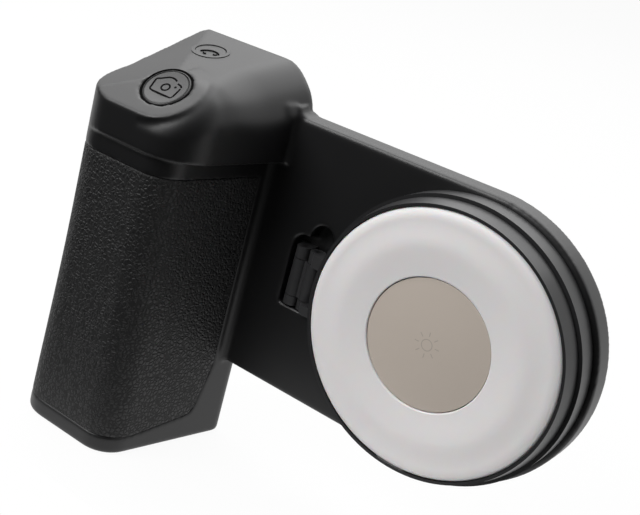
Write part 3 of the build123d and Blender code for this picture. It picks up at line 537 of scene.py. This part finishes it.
def settle(obj, finish_name, body, smooth=True):
    """Finish, shading and body of a piece that already has its mesh."""
    coat(obj, finish_name)
    for face in obj.data.polygons:
        face.use_smooth = smooth
    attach(obj, body)


def ramp(value, low, high):
    """Smooth step from 0 at low to 1 at high."""
    share = min(max((value - low) / (high - low), 0), 1)
    return share * share * (3 - 2 * share)


def zone(spot, **spans):
    """How far a spot lies inside a zone, 0 to 1. Each span runs from outside to inside, in mm."""
    share = 1.0
    for axis, (outside, inside) in spans.items():
        share *= ramp(getattr(spot, axis), outside * MM, inside * MM)
    return share


def round_max(first, second, radius, match=0.0):
    """Greater of two distances, with a fillet between the surfaces; match is the cosine of their normals."""
    first_in = first + radius
    second_in = second + radius
    between = (first_in > match * second_in) & (second_in > match * first_in)
    squares = first_in ** 2 + second_in ** 2 - 2 * match * first_in * second_in
    fillet = np.sqrt(np.maximum(squares, 0) / (1 - match ** 2)) - radius
    return np.where(between, fillet, np.maximum(first, second))


def soft_max(first, second, blend):
    """Greater of two distances, with the shallow crease between them softened."""
    near = np.maximum(blend - np.abs(first - second), 0)
    return np.maximum(first, second) + near * near / (4 * blend)


def soft_step(values, low, high):
    """Smooth step of an array from 0 at low to 1 at high."""
    share = np.clip((values - low) / (high - low), 0, 1)
    return share * share * (3 - 2 * share)


def flare_foot(obj):
    """Lets the outer side of the handle run outwards down to the foot."""
    reach = grip_sizes().foot_flare
    for vertex in obj.data.vertices:
        spot = vertex.co
        share = zone(spot, z=(0, -70), x=(-74, -84), y=(-4, -16))
        spot.x -= reach * share * FLARE_GAIN


def add_grid(obj, cell):
    """Modifier that makes a piece's mesh again on an even grid."""
    grid = obj.modifiers.new("grid", "REMESH")
    grid.mode = "VOXEL"
    grid.voxel_size = cell


def add_smoothing(obj, name, passes, group=""):
    """Modifier that smooths a piece, or only one of its vertex groups."""
    smooth = obj.modifiers.new(name, "SMOOTH")
    smooth.factor = 0.5
    smooth.iterations = passes
    smooth.vertex_group = group


def add_thinning(obj, kept):
    """Modifier that keeps only a share of a piece's triangles."""
    thin = obj.modifiers.new("thin out", "DECIMATE")
    thin.ratio = kept


def bake_modifiers(obj):
    """Replaces a piece's mesh by what its modifiers make of it."""
    graph = bpy.context.evaluated_depsgraph_get()
    mesh = bpy.data.meshes.new_from_object(obj.evaluated_get(graph))
    obj.modifiers.clear()
    obj.data = mesh


def copy_of_node(node, name):
    """A free copy of a frame node's mesh, welded where the import split it."""
    obj = bpy.data.objects.new(name, NODES[node].data.copy())
    bpy.context.collection.objects.link(obj)
    bm = bmesh.new()
    bm.from_mesh(obj.data)
    bmesh.ops.remove_doubles(bm, verts=bm.verts, dist=WELD)
    bm.to_mesh(obj.data)
    bm.free()
    return obj


def rounded(points, radii, steps=5):
    """A profile whose inner corners are rounded; the radii are one per point."""
    result = []
    for i, (point, radius) in enumerate(zip(points, radii)):
        here = Vector(point)
        if radius <= 0:
            result.append(tuple(here))
            continue
        before = (Vector(points[i - 1]) - here).normalized()
        after = (Vector(points[(i + 1) % len(points)]) - here).normalized()
        half = before.angle(after) / 2
        reach = radius / math.tan(half)
        centre = here + (before + after).normalized() * radius / math.sin(half)
        first = here + before * reach - centre
        last = here + after * reach - centre
        sweep = first.angle_signed(last)
        for k in range(steps + 1):
            turned = first.copy()
            turned.rotate(Matrix.Rotation(-sweep * k / steps, 2))
            result.append(tuple(centre + turned))
    return result


def lathe(profile, segments, closed=True):
    """Turns a profile of (radius, height) round Z. A closed profile makes a ring."""
    bm = bmesh.new()
    rings = []
    for radius, height in profile:
        if radius < NEAR_ZERO:
            rings.append([bm.verts.new((0, 0, height))])
            continue
        ring = []
        for k in range(segments):
            angle = FULL_TURN * k / segments
            ring.append(bm.verts.new((radius * math.cos(angle), radius * math.sin(angle), height)))
        rings.append(ring)
    pairs = list(zip(rings, rings[1:]))
    if closed:
        pairs.append((rings[-1], rings[0]))
    for low, high in pairs:
        for k in range(segments):
            after = (k + 1) % segments
            quad = [low[k % len(low)], low[after % len(low)], high[after % len(high)], high[k % len(high)]]
            unique = list(dict.fromkeys(quad))
            if len(unique) > 2:
                bm.faces.new(unique)
    return bm


def shift_all(bm, matrix):
    """Moves a whole bmesh by a matrix."""
    bmesh.ops.transform(bm, matrix=matrix, verts=bm.verts)


def stand_on_light_axis(bm):
    """Turns a lathe made round Z so that its height runs along -Y."""
    shift_all(bm, Matrix.Rotation(math.radians(90), 4, "X"))


def tilted(place_at, tilt):
    """Matrix of a button's own axes: local Z leans forwards by the tilt."""
    return Matrix.Translation(place_at) @ Matrix.Rotation(tilt, 4, "X")


def stroke(bm, points, width, level, closed=False):
    """A raised line of even width; level gives its height at a distance from the face's middle."""
    count = len(points)
    sides = []
    for i, point in enumerate(points):
        here = Vector(point)
        before = Vector(points[i - 1]) if closed or i > 0 else here
        after = Vector(points[(i + 1) % count]) if closed or i < count - 1 else here
        along = (after - before).normalized()
        across = Vector((-along.y, along.x)) * width / 2
        sides.append((here + across, here - across))
    rows = []
    for left, right in sides:
        top = level(here_radius(left)), level(here_radius(right))
        rows.append((
            bm.verts.new((left.x, left.y, top[0])),
            bm.verts.new((right.x, right.y, top[1])),
            bm.verts.new((right.x, right.y, top[1] - width)),
            bm.verts.new((left.x, left.y, top[0] - width)),
        ))
    joined = list(zip(rows, rows[1:]))
    if closed:
        joined.append((rows[-1], rows[0]))
    else:
        bm.faces.new(rows[0])
        bm.faces.new(rows[-1])
    for low, high in joined:
        for k in range(4):
            after = (k + 1) % 4
            bm.faces.new((low[k], low[after], high[after], high[k]))


def here_radius(spot):
    """Distance of a flat spot from the middle of its face."""
    return math.hypot(spot.x, spot.y)


def arc(centre, radius, start, end, steps=24):
    """Points along an arc, the angles in degrees."""
    points = []
    for k in range(steps + 1):
        angle = math.radians(start + (end - start) * k / steps)
        points.append((centre[0] + radius * math.cos(angle), centre[1] + radius * math.sin(angle)))
    return points


def background_mask(tree):
    """Light Path, and 1 for rays of the camera, off metal or through glass: those see the background."""
    path = place(tree, "ShaderNodeLightPath", (-900, 200))
    shiny = place(tree, "ShaderNodeMath", (-600, 300), operation="MAXIMUM")
    seen = place(tree, "ShaderNodeMath", (-300, 200), operation="MAXIMUM")
    wire(
        tree,
        (path, "Is Glossy Ray", shiny, 0),
        (path, "Is Transmission Ray", shiny, 1),
        (path, "Is Camera Ray", seen, 0),
        (shiny, 0, seen, 1),
    )
    return path, seen


class PHONEGRIP_OT_stage(bpy.types.Operator):
    """Camera, lamps and a pale floor"""

    bl_idname = "phone_grip.stage"
    bl_label = "Stage"

    def execute(self, context):
        settings = stage_settings()
        scene = context.scene
        scene.view_settings.view_transform = "Standard"
        self.make_camera(scene, settings)
        self.make_floor(scene, settings)
        self.make_world(scene)
        self.make_lamps(scene)
        return {"FINISHED"}

    def make_camera(self, scene, settings):
        camera = bpy.data.objects.new("camera", bpy.data.cameras.new("camera"))
        scene.collection.objects.link(camera)
        camera.location = settings.camera_place
        camera.rotation_euler = settings.camera_turn
        camera.data.lens = settings.lens
        camera.data.shift_x, camera.data.shift_y = settings.shift
        camera.data.clip_start = 10 * MM
        scene.camera = camera

    def make_floor(self, scene, settings):
        """A floor that the camera sees as nearly white, and that still holds the object's shadow."""
        level = START_BOUNDS[0].z - settings.floor_drop
        bm = bmesh.new()
        bmesh.ops.create_grid(bm, x_segments=8, y_segments=8, size=settings.floor_size / 2)
        mesh = bpy.data.meshes.new("floor")
        bm.to_mesh(mesh)
        bm.free()
        floor = bpy.data.objects.new("floor", mesh)
        scene.collection.objects.link(floor)
        floor.location = (0, settings.floor_front + settings.floor_size / 2, level)
        material = bpy.data.materials.new("pale floor")
        material.use_nodes = True
        tree = material.node_tree
        tree.nodes.clear()
        end = place(tree, "ShaderNodeOutputMaterial", (600, 0))
        paper = place(tree, "ShaderNodeBsdfDiffuse", (0, 0), Color=(0.8, 0.8, 0.8, 1))
        white = place(tree, "ShaderNodeEmission", (0, -200), Color=(1, 1, 1, 1), Strength=1.0)
        mix = place(tree, "ShaderNodeMixShader", (350, 0))
        seen = background_mask(tree)[1]
        keep = place(tree, "ShaderNodeMath", (0, 200), operation="MULTIPLY")
        keep.inputs[1].default_value = FLOOR_WHITE
        wire(
            tree,
            (seen, 0, keep, 0),
            (keep, 0, mix, 0),
            (paper, 0, mix, 1),
            (white, 0, mix, 2),
            (mix, 0, end, "Surface"),
        )
        mesh.materials.append(material)

    def make_world(self, scene):
        """White for the camera; metal and glass see it get dark towards the front; the rest is even light."""
        world = bpy.data.worlds.new("studio")
        scene.world = world
        world.use_nodes = True
        tree = world.node_tree
        tree.nodes.clear()
        end = place(tree, "ShaderNodeOutputWorld", (600, 0))
        room = place(tree, "ShaderNodeBackground", (0, 0), Color=(1, 1, 1, 1), Strength=ROOM_LIGHT)
        white = place(tree, "ShaderNodeBackground", (0, -200), Color=(1, 1, 1, 1))
        mix = place(tree, "ShaderNodeMixShader", (350, 0))
        path, seen = background_mask(tree)
        spot = place(tree, "ShaderNodeTexCoord", (-1100, -200))
        aim = place(tree, "ShaderNodeVectorMath", (-900, -200), operation="DOT_PRODUCT")
        aim.inputs[1].default_value = (-0.1, 0.9, 0.42)
        dusk = place(
            tree, "ShaderNodeMapRange", (-600, -200), interpolation_type="SMOOTHSTEP",
            From_Min=-0.3, From_Max=0.4, To_Min=0.04,
        )
        level = place(tree, "ShaderNodeMath", (-300, -200), operation="MAXIMUM")
        wire(
            tree,
            (spot, "Generated", aim, 0),
            (aim, "Value", dusk, "Value"),
            (dusk, "Result", level, 0),
            (path, "Is Camera Ray", level, 1),
            (level, 0, white, "Strength"),
            (seen, 0, mix, 0),
            (room, 0, mix, 1),
            (white, 0, mix, 2),
            (mix, 0, end, "Surface"),
        )

    def make_lamps(self, scene):
        """Round soft lamps: a name, the way from the object's middle, the diameter and the power."""
        middle = (START_BOUNDS[0] + START_BOUNDS[1]) / 2
        lamps = (
            ("top left lamp", (-0.42, 0.05, 0.68), 0.75, 3.2),
            ("top lamp", (-0.1, 0.4, 0.75), 1.3, 7.0),
            ("front lamp", (-0.28, -0.45, 0.42), 0.4, 3.6),
        )
        for name, offset, size, power in lamps:
            data = bpy.data.lights.new(name, "AREA")
            data.shape = "DISK"
            data.size = size
            data.energy = power
            lamp = bpy.data.objects.new(name, data)
            scene.collection.objects.link(lamp)
            lamp.location = middle + Vector(offset)
            lamp.rotation_euler = (-Vector(offset)).to_track_quat("-Z", "Y").to_euler()


class PHONEGRIP_OT_shell(bpy.types.Operator):
    """Moulded shell of the grip, with soft edges"""

    bl_idname = "phone_grip.shell"
    bl_label = "Moulded Shell"

    def execute(self, context):
        sizes = grip_sizes()
        shell = copy_of_node("grip_shell", "moulded_shell")
        add_grid(shell, sizes.voxel)
        bake_modifiers(shell)
        back = corner("grip_shell", 1, 1)
        top = corner("grip_shell", 1, 2)
        self.shape_head(sizes, shell, back, top)
        self.shape_edges(sizes, shell, back, top)
        creases = self.mark_creases(shell)
        flare_foot(shell)
        add_smoothing(shell, "soft form", sizes.head_softening, creases)
        add_smoothing(shell, "soften", sizes.softening)
        add_thinning(shell, kept=0.35)
        bake_modifiers(shell)
        settle(shell, "soft black", "grip")
        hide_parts("grip_shell")
        return {"FINISHED"}

    def head_form(self, sizes, spots, back, top):
        """Distance of each spot from the head's smooth form between the lobe and the inner wall."""
        x, y, z = spots.T
        tilt, lean, hollow = sizes.key_tilt, sizes.button_tilt, sizes.scoop_tilt
        place_x, place_y, place_z = sizes.button_place
        from_top = (z - top) * math.cos(tilt) - (y - back) * math.sin(tilt)
        from_facet = (z - place_z) * math.cos(lean) - (y - place_y) * math.sin(lean)
        rise = place_z - place_y * math.tan(lean) - top + back * math.tan(tilt)
        crease_y = rise / (math.tan(tilt) - math.tan(lean))
        crease_z = top + (crease_y - back) * math.tan(tilt)
        from_hollow = (z - crease_z) * math.cos(hollow) - (y - crease_y) * math.sin(hollow)
        from_front = corner("grip_shell", 0, 1) - y
        from_wall = (x - sizes.wall_place - sizes.wall_drift * (y - back)) / math.hypot(1, sizes.wall_drift)
        up_slope = (y - place_y) * math.cos(lean) + (z - place_z) * math.sin(lean)
        from_lobe = np.hypot(x - place_x, up_slope) - sizes.lobe_radius
        sides = round_max(from_front, from_wall, sizes.shoulder_radius, FRONT_WALL_MATCH)
        facing = np.arctan2(
            np.maximum(from_front + sizes.shoulder_radius, 0),
            np.maximum(from_wall + sizes.shoulder_radius, TINY),
        )
        turn = soft_step(-y, -crease_y - CREASE_HALF, -crease_y + CREASE_HALF)
        steep = tilt + (hollow - tilt) * turn
        growth = soft_step(y, FRONT_ROUND_Y, SHOULDER_ROUND_Y)
        edge = sizes.rim_round + (sizes.shoulder_radius - sizes.rim_round) * growth
        roof = soft_max(from_top, from_hollow, HOLLOW_BLEND)
        body = round_max(roof, sides, edge, np.sin(steep) * np.sin(facing))
        cap = soft_max(from_top, from_facet, FACET_BLEND)
        lobe = round_max(cap, np.maximum(from_lobe, from_front), LOBE_EDGE)
        return -soft_max(-body, -lobe, LOBE_BLEND)

    def slope_of(self, sizes, points, back, top):
        """Gradient of the head form's distance."""
        parts = []
        for axis in range(3):
            shift = np.zeros(3)
            shift[axis] = TINY
            ahead = self.head_form(sizes, points + shift, back, top)
            behind = self.head_form(sizes, points - shift, back, top)
            parts.append((ahead - behind) / (2 * TINY))
        slope = np.stack(parts, axis=1)
        return slope / np.maximum(np.linalg.norm(slope, axis=1, keepdims=True), NEAR_ZERO)

    def shape_head(self, sizes, shell, back, top):
        """Moves the shell's skin beside the lobe onto the smooth form, the inner skin behind it."""
        mesh = shell.data
        count = len(mesh.vertices)
        spots = np.empty(count * 3)
        mesh.vertices.foreach_get("co", spots)
        spots = spots.reshape(count, 3)
        normals = np.empty(count * 3)
        mesh.vertex_normals.foreach_get("vector", normals)
        normals = normals.reshape(count, 3)
        place_x, place_y, place_z = sizes.button_place
        x, y, z = spots.T
        up_slope = (y - place_y) * math.cos(sizes.button_tilt) + (z - place_z) * math.sin(sizes.button_tilt)
        clear = np.hypot(x - place_x, up_slope) > sizes.button_radius + BUTTON_MARGIN
        root = (y > ROOT_Y) & (z < ROOT_Z)
        head = (x > place_x) & (z > FORM_START_Z) & (y < -BACK_MARGIN)
        chosen = np.nonzero(head & clear & ~root)[0]
        moved = spots[chosen].copy()
        slope = self.slope_of(sizes, moved, back, top)
        outer = np.einsum("ij,ij->i", slope, normals[chosen]) > OUTWARD
        outer &= np.abs(self.head_form(sizes, moved, back, top)) < OUTER_REACH
        fade = soft_step(moved[:, 2], FORM_START_Z, FORM_FULL_Z)
        fade = fade * soft_step(-moved[:, 1], BACK_MARGIN, BACK_FADE)
        for _ in range(3):
            distance = self.head_form(sizes, moved, back, top)
            target = np.where(outer, distance, np.maximum(distance + INNER_DEPTH, 0))
            moved -= self.slope_of(sizes, moved, back, top) * (target * fade)[:, None]
        spots[chosen] = moved
        mesh.vertices.foreach_set("co", spots.ravel())
        mesh.update()

    def shape_edges(self, sizes, shell, back, top):
        """Rounds the shoulder's back edge and lets the head's outer edge sag."""
        drift = sizes.wall_drift
        fall = math.tan(sizes.key_tilt)
        for vertex in shell.data.vertices:
            spot = vertex.co
            if spot.z < HEAD_BOTTOM_Z:
                continue
            from_wall = (sizes.wall_place + drift * (spot.y - back) - spot.x) / math.hypot(1, drift)
            from_top = top + fall * (spot.y - back) - spot.z
            self.round_shoulder(sizes, spot, from_wall, from_top, back)
            self.sag(sizes, spot)

    def round_shoulder(self, sizes, spot, from_wall, from_top, back):
        """Rounds the back edge of the shoulder; the rounding fades towards the level top."""
        radius = sizes.shoulder_radius
        if from_wall > radius or spot.z < SHOULDER_BOTTOM_Z:
            return
        across = Vector((radius - from_wall, max(radius - from_top, 0)))
        if across.length < NEAR_ZERO:
            return
        inside = radius - across.length
        turn = across.x / across.length
        edge = LEAST_ROUND + (sizes.back_round - LEAST_ROUND) * ramp(turn, 0.1, 0.75)
        reach = Vector((edge - inside, edge - (back - spot.y)))
        if reach.x <= 0 or reach.y <= 0 or reach.length <= edge:
            return
        kept = reach * (edge / reach.length)
        inwards = Vector((-across.x, 0, -across.y)).normalized()
        spot += inwards * (reach.x - kept.x)
        spot.y -= reach.y - kept.y

    def sag(self, sizes, spot):
        """Lowers the outer edge of the head's top halfway between its corners."""
        forwards = -spot.y / MM
        start, end = 2, 34
        if not start < forwards < end:
            return
        along = math.sin(math.pi * (forwards - start) / (end - start)) ** 2
        spot.z -= sizes.side_dip * along * zone(spot, x=(-77, -87), z=(26, 33))

    def mark_creases(self, shell):
        """Weighs the skin beside the lobe and along its outer crease; gives the vertex group's name."""
        group = shell.vertex_groups.new(name="beside the lobe")
        weights = {}
        for vertex in shell.data.vertices:
            spot = vertex.co
            if spot.z < HEAD_BOTTOM_Z:
                continue
            right = zone(spot, x=(-60.5, -57.5), z=(24, 27), y=(-5, -9))
            crease = zone(spot, x=(-76.5, -79), z=(32, 34))
            crease *= zone(spot, y=(-20, -24)) * zone(spot, y=(-36, -33))
            weight = round(max(right, crease), 1)
            if weight > 0:
                weights.setdefault(weight, []).append(vertex.index)
        for weight, vertices in weights.items():
            group.add(vertices, weight, "REPLACE")
        return group.name


class PHONEGRIP_OT_wrap(bpy.types.Operator):
    """Leather wrap round the handle"""

    bl_idname = "phone_grip.wrap"
    bl_label = "Leather Wrap"

    def execute(self, context):
        wrap = copy_of_node("grip_wrap", "leather_wrap")
        add_grid(wrap, cell=0.3 * MM)
        add_smoothing(wrap, "soften", passes=4)
        add_thinning(wrap, kept=0.3)
        bake_modifiers(wrap)
        flare_foot(wrap)
        settle(wrap, "leather", "grip")
        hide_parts("grip_wrap")
        return {"FINISHED"}


class PHONEGRIP_OT_shutter(bpy.types.Operator):
    """Dished shutter button with a plain camera sign"""

    bl_idname = "phone_grip.shutter"
    bl_label = "Shutter Button"

    def execute(self, context):
        sizes = grip_sizes()
        radius = sizes.button_radius
        sunk = 0.2 * MM
        dish = 0.35 * MM
        edge = 0.45 * MM

        def level(distance):
            """Height of the dished face at a distance from its middle."""
            share = min(distance / (radius - edge), 1)
            return dish * (share ** 2 - 1)

        axes = tilted(sizes.button_place, sizes.button_tilt)
        matrix = axes @ Matrix.Translation((0, 0, -sunk))
        self.cap(matrix, radius, edge, level)
        # The gap round the button gets a lining of painted shade
        self.painted_gap_shade(axes, radius)
        self.camera_sign(matrix, lambda distance: level(distance) + SIGN_RISE)
        return {"FINISHED"}

    def cap(self, matrix, radius, edge, level):
        """The button with the flange that holds it in, and the short stem that meets the switch."""
        steps = 14
        flange_top = -2.2 * MM
        flange_bottom = flange_top - 0.8 * MM
        flange_radius = radius + 0.9 * MM
        stem_radius = 1.5 * MM
        stem_end = flange_top - 1.2 * MM
        profile = [(radius * k / steps, level(radius * k / steps)) for k in range(steps)]
        profile += rounded([(radius - edge * 1.2, 0), (radius, 0), (radius, flange_top)], [0, edge, 0])[1:]
        profile += [(flange_radius, flange_top), (flange_radius, flange_bottom), (stem_radius, flange_bottom)]
        profile += [(stem_radius, stem_end), (0, stem_end)]
        bm = lathe(profile, KEY_SEGMENTS, closed=False)
        shift_all(bm, matrix)
        button = add_mesh("shutter_cap", bm, "soft black", "shutter")
        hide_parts("shutter_button")

    def painted_gap_shade(self, axes, radius):
        """Painted shade: a near-black lining in the gap round the button, where the gap falls into shade."""
        low = radius + 0.04 * MM
        high = radius + 0.38 * MM
        deep = -1.4 * MM
        ring = lathe([(low, deep), (high, deep), (high, -0.22 * MM), (low, -0.5 * MM)], KEY_SEGMENTS)
        shift_all(ring, axes)
        add_mesh("painted_gap_shade_ring", ring, "ink and painted shade", "grip", smooth=False)

    def camera_sign(self, matrix, level):
        """Outline of a camera with its lens and lamp, points in mm from the button's middle."""
        bm = bmesh.new()
        width = 0.42 * MM
        body = [
            (3.15, 1.1), (3.25, -1.7), (3.0, -2.2), (2.6, -2.25), (-2.9, -2.15), (-3.3, -2.0), (-3.5, -1.7),
            (-4.05, 0.9), (-4.0, 1.3), (-3.2, 1.8), (-2.6, 2.3), (-1.7, 2.95), (-0.9, 3.15), (-0.1, 3.1),
            (0.75, 2.75),
        ]
        flash = [(1.5, 2.2), (2.5, 1.95), (2.95, 1.7), (3.1, 1.4)]
        for line in (body, flash):
            stroke(bm, [(x * MM, y * MM) for x, y in line], width, level)
        stroke(bm, arc((-0.45 * MM, 0.1 * MM), 1.0 * MM, 0, 345), width, level, closed=True)
        stroke(bm, arc((1.7 * MM, 1.05 * MM), 0.16 * MM, 0, 324, 10), 0.3 * MM, level, closed=True)
        shift_all(bm, matrix)
        add_mesh("camera_sign", bm, "ink and painted shade", "shutter", smooth=False)


class PHONEGRIP_OT_small_key(bpy.types.Operator):
    """Small key with a plain handset sign"""

    bl_idname = "phone_grip.small_key"
    bl_label = "Small Key"

    def execute(self, context):
        sizes = grip_sizes()
        coat(NODES["pairing_key"], "soft black")
        matrix = tilted(sizes.key_place, sizes.key_tilt)
        self.bezel(matrix, sizes.key_radius)
        self.handset_sign(matrix)
        return {"FINISHED"}

    def bezel(self, matrix, radius):
        """Thin ring round the key, level with the head's top."""
        inner = radius + 0.12 * MM
        outer = radius + 1.0 * MM
        bottom = -0.9 * MM
        profile = [
            (inner, bottom), (outer, bottom), (outer, -0.06 * MM), (inner + 0.06 * MM, 0.01 * MM),
            (inner, -0.05 * MM),
        ]
        bm = lathe(profile, KEY_SEGMENTS)
        shift_all(bm, matrix)
        add_mesh("small_key_bezel", bm, "soft black", "grip", smooth=False)

    def handset_sign(self, matrix):
        """A bent handset with its two ends."""
        bm = bmesh.new()

        def level(distance):
            """Height of the sign over the key's face."""
            return 0.03 * MM

        ear_width = 0.28 * MM
        stroke(bm, arc((1.1 * MM, -2.4 * MM), 2.55 * MM, 42, 172), 0.32 * MM, level)
        stroke(bm, arc((0.1 * MM, -2.1 * MM), 0.5 * MM, 200, 330, 8), ear_width, level)
        stroke(bm, arc((2.3 * MM, -1.1 * MM), 0.5 * MM, 230, 360, 8), ear_width, level)
        shift_all(bm, matrix)
        add_mesh("handset_sign", bm, "ink and painted shade", "pair_key", smooth=False)


class PHONEGRIP_OT_hinge(bpy.types.Operator):
    """Barrels, pins and leaves of the folding hinge"""

    bl_idname = "phone_grip.hinge"
    bl_label = "Hinge"

    def execute(self, context):
        coat_nodes("hinge metal", "hinge_bracket", "hinge_link", "dock_leaf")
        coat_nodes("screw steel", "hinge_pin_inner", "hinge_pin_outer", "bracket_screws", "leaf_screws")
        return {"FINISHED"}


class PHONEGRIP_OT_dock(bpy.types.Operator):
    """Round dock and its cover"""

    bl_idname = "phone_grip.dock"
    bl_label = "Dock"

    def execute(self, context):
        coat_nodes("satin grey", "dock_plate", "dock_cover")
        return {"FINISHED"}


class PHONEGRIP_OT_light(bpy.types.Operator):
    """Housing of the round light"""

    bl_idname = "phone_grip.light"
    bl_label = "Light Housing"

    def execute(self, context):
        coat_nodes("satin grey", "light_housing", "light_back_cover")
        return {"FINISHED"}


class PHONEGRIP_OT_diffuser(bpy.types.Operator):
    """Opal ring that dishes towards the mirror key"""

    bl_idname = "phone_grip.diffuser"
    bl_label = "Ring Diffuser"

    def execute(self, context):
        sizes = light_sizes()
        outer = half_width("diffuser") - 0.02 * MM
        inner = half_width("mirror_key") - 0.02 * MM
        crown = -corner("diffuser", 0, 1)
        swell = 0.5 * MM
        front = crown - swell
        back = front - 1.5 * MM
        profile = [(inner, back), (outer, back)]
        rim, drop = 2.6 * MM, 1.3 * MM
        rim_steps = 10
        for k in range(rim_steps + 1):
            angle = math.radians(90 * k / rim_steps)
            profile.append((outer - rim + rim * math.cos(angle), front - drop + drop * math.sin(angle)))
        face_steps = 40
        for k in range(1, face_steps + 1):
            share = k / face_steps
            radius = outer - rim + (inner - outer + rim) * share
            rise = (crown - front) * ramp(share, 0, 0.5)
            fall = (crown - front + sizes.dish_depth) * ramp(share, 0.3, 1.2)
            profile.append((radius, front + rise - fall))
        bm = lathe(profile, sizes.segments)
        stand_on_light_axis(bm)
        ring = add_mesh("ring_diffuser", bm, "opal", "light")
        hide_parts("diffuser")
        return {"FINISHED"}


class PHONEGRIP_OT_mirror_key(bpy.types.Operator):
    """Mirror key with a faint sun sign"""

    bl_idname = "phone_grip.mirror_key"
    bl_label = "Mirror Key"

    def execute(self, context):
        radius = half_width("mirror_key") - 0.22 * MM
        front = -corner("mirror_key", 0, 1)
        back = front - 0.6 * MM
        edge = 0.12 * MM
        profile = [(0, front)]
        profile += rounded([(0, front), (radius, front), (radius, back)], [0, edge, 0], 3)[1:]
        profile += [(0, back)]
        bm = lathe(profile, light_sizes().segments, closed=False)
        stand_on_light_axis(bm)
        disc = add_mesh("mirror_disc", bm, "mirror film", "light_key")
        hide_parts("mirror_key")
        self.sun_sign(front)
        return {"FINISHED"}

    def sun_sign(self, front):
        """A ring with rays round it."""
        bm = bmesh.new()

        def level(distance):
            """Height of the sign, a hair over the film."""
            return front + 0.015 * MM

        width = 0.2 * MM
        rays = 8
        stroke(bm, arc((0, 0), 1.25 * MM, 0, 345), width, level, closed=True)
        for k in range(rays):
            angle = FULL_TURN * k / rays
            ray = [(r * MM * math.cos(angle), r * MM * math.sin(angle)) for r in (1.95, 2.95)]
            stroke(bm, ray, width, level)
        stand_on_light_axis(bm)
        add_mesh("sun_sign", bm, "film mark", "light_key", smooth=False)


class PHONEGRIP_OT_phone_side(bpy.types.Operator):
    """Rear cover, phone pad, foot and screws"""

    bl_idname = "phone_grip.phone_side"
    bl_label = "Phone Side"

    def execute(self, context):
        coat_nodes("cover black", "back_cover", "foot_plate")
        coat_nodes("pad rubber", "phone_pad")
        coat_nodes("brass", "tripod_insert")
        coat_nodes("screw steel", "cover_screws", "foot_screws")
        coat_nodes("bare steel", "usb_socket")
        return {"FINISHED"}


class PHONEGRIP_OT_inside(bpy.types.Operator):
    """Finishes of the pieces inside"""

    bl_idname = "phone_grip.inside"
    bl_label = "Inner Pieces"

    def execute(self, context):
        coat_nodes("nickel", "phone_magnets", "dock_magnets", "light_magnets")
        coat_nodes("bare steel", "phone_yoke", "dock_yoke", "key_dome", "light_socket")
        coat_nodes("cell sleeve", "battery_cell", "light_battery")
        coat_nodes("moulded grey", "battery_cradle", "shutter_switch", "pairing_switch")
        coat_nodes("board green", "main_board", "shutter_board", "pairing_board", "light_board")
        coat_nodes("lamp phosphor", "light_leds")
        return {"FINISHED"}


class PHONEGRIP_PT_panel(bpy.types.Panel):
    """Lists the steps that dress the model"""

    bl_idname = "PHONEGRIP_PT_panel"
    bl_label = "Phone Grip"
    bl_space_type = "VIEW_3D"
    bl_region_type = "UI"
    bl_category = "Phone Grip"

    def draw(self, context):
        for step in STEPS:
            self.layout.operator(step.bl_idname)


STEPS = (
    PHONEGRIP_OT_stage,
    PHONEGRIP_OT_shell,
    PHONEGRIP_OT_wrap,
    PHONEGRIP_OT_shutter,
    PHONEGRIP_OT_small_key,
    PHONEGRIP_OT_hinge,
    PHONEGRIP_OT_dock,
    PHONEGRIP_OT_light,
    PHONEGRIP_OT_diffuser,
    PHONEGRIP_OT_mirror_key,
    PHONEGRIP_OT_phone_side,
    PHONEGRIP_OT_inside,
)
SETTINGS = (GripSizes, LightSizes, FinishColours, StageSettings)


def register():
    """Makes the classes and the scene's settings known."""
    for cls in SETTINGS + STEPS + (PHONEGRIP_PT_panel,):
        bpy.utils.register_class(cls)
    scene = bpy.types.Scene
    scene.phone_grip_sizes = bpy.props.PointerProperty(type=GripSizes)
    scene.phone_grip_light = bpy.props.PointerProperty(type=LightSizes)
    scene.phone_grip_colours = bpy.props.PointerProperty(type=FinishColours)
    scene.phone_grip_stage = bpy.props.PointerProperty(type=StageSettings)


def unregister():
    """Takes the classes and the scene's settings away."""
    for name in ("phone_grip_sizes", "phone_grip_light", "phone_grip_colours", "phone_grip_stage"):
        delattr(bpy.types.Scene, name)
    for cls in reversed(SETTINGS + STEPS + (PHONEGRIP_PT_panel,)):
        bpy.utils.unregister_class(cls)


def main():
    """Dresses the model."""
    register()
    FINISHES.update(make_finishes())
    for step in STEPS:
        group, name = step.bl_idname.split(".")
        getattr(getattr(bpy.ops, group), name)()


if __name__ == "__main__":
    main()
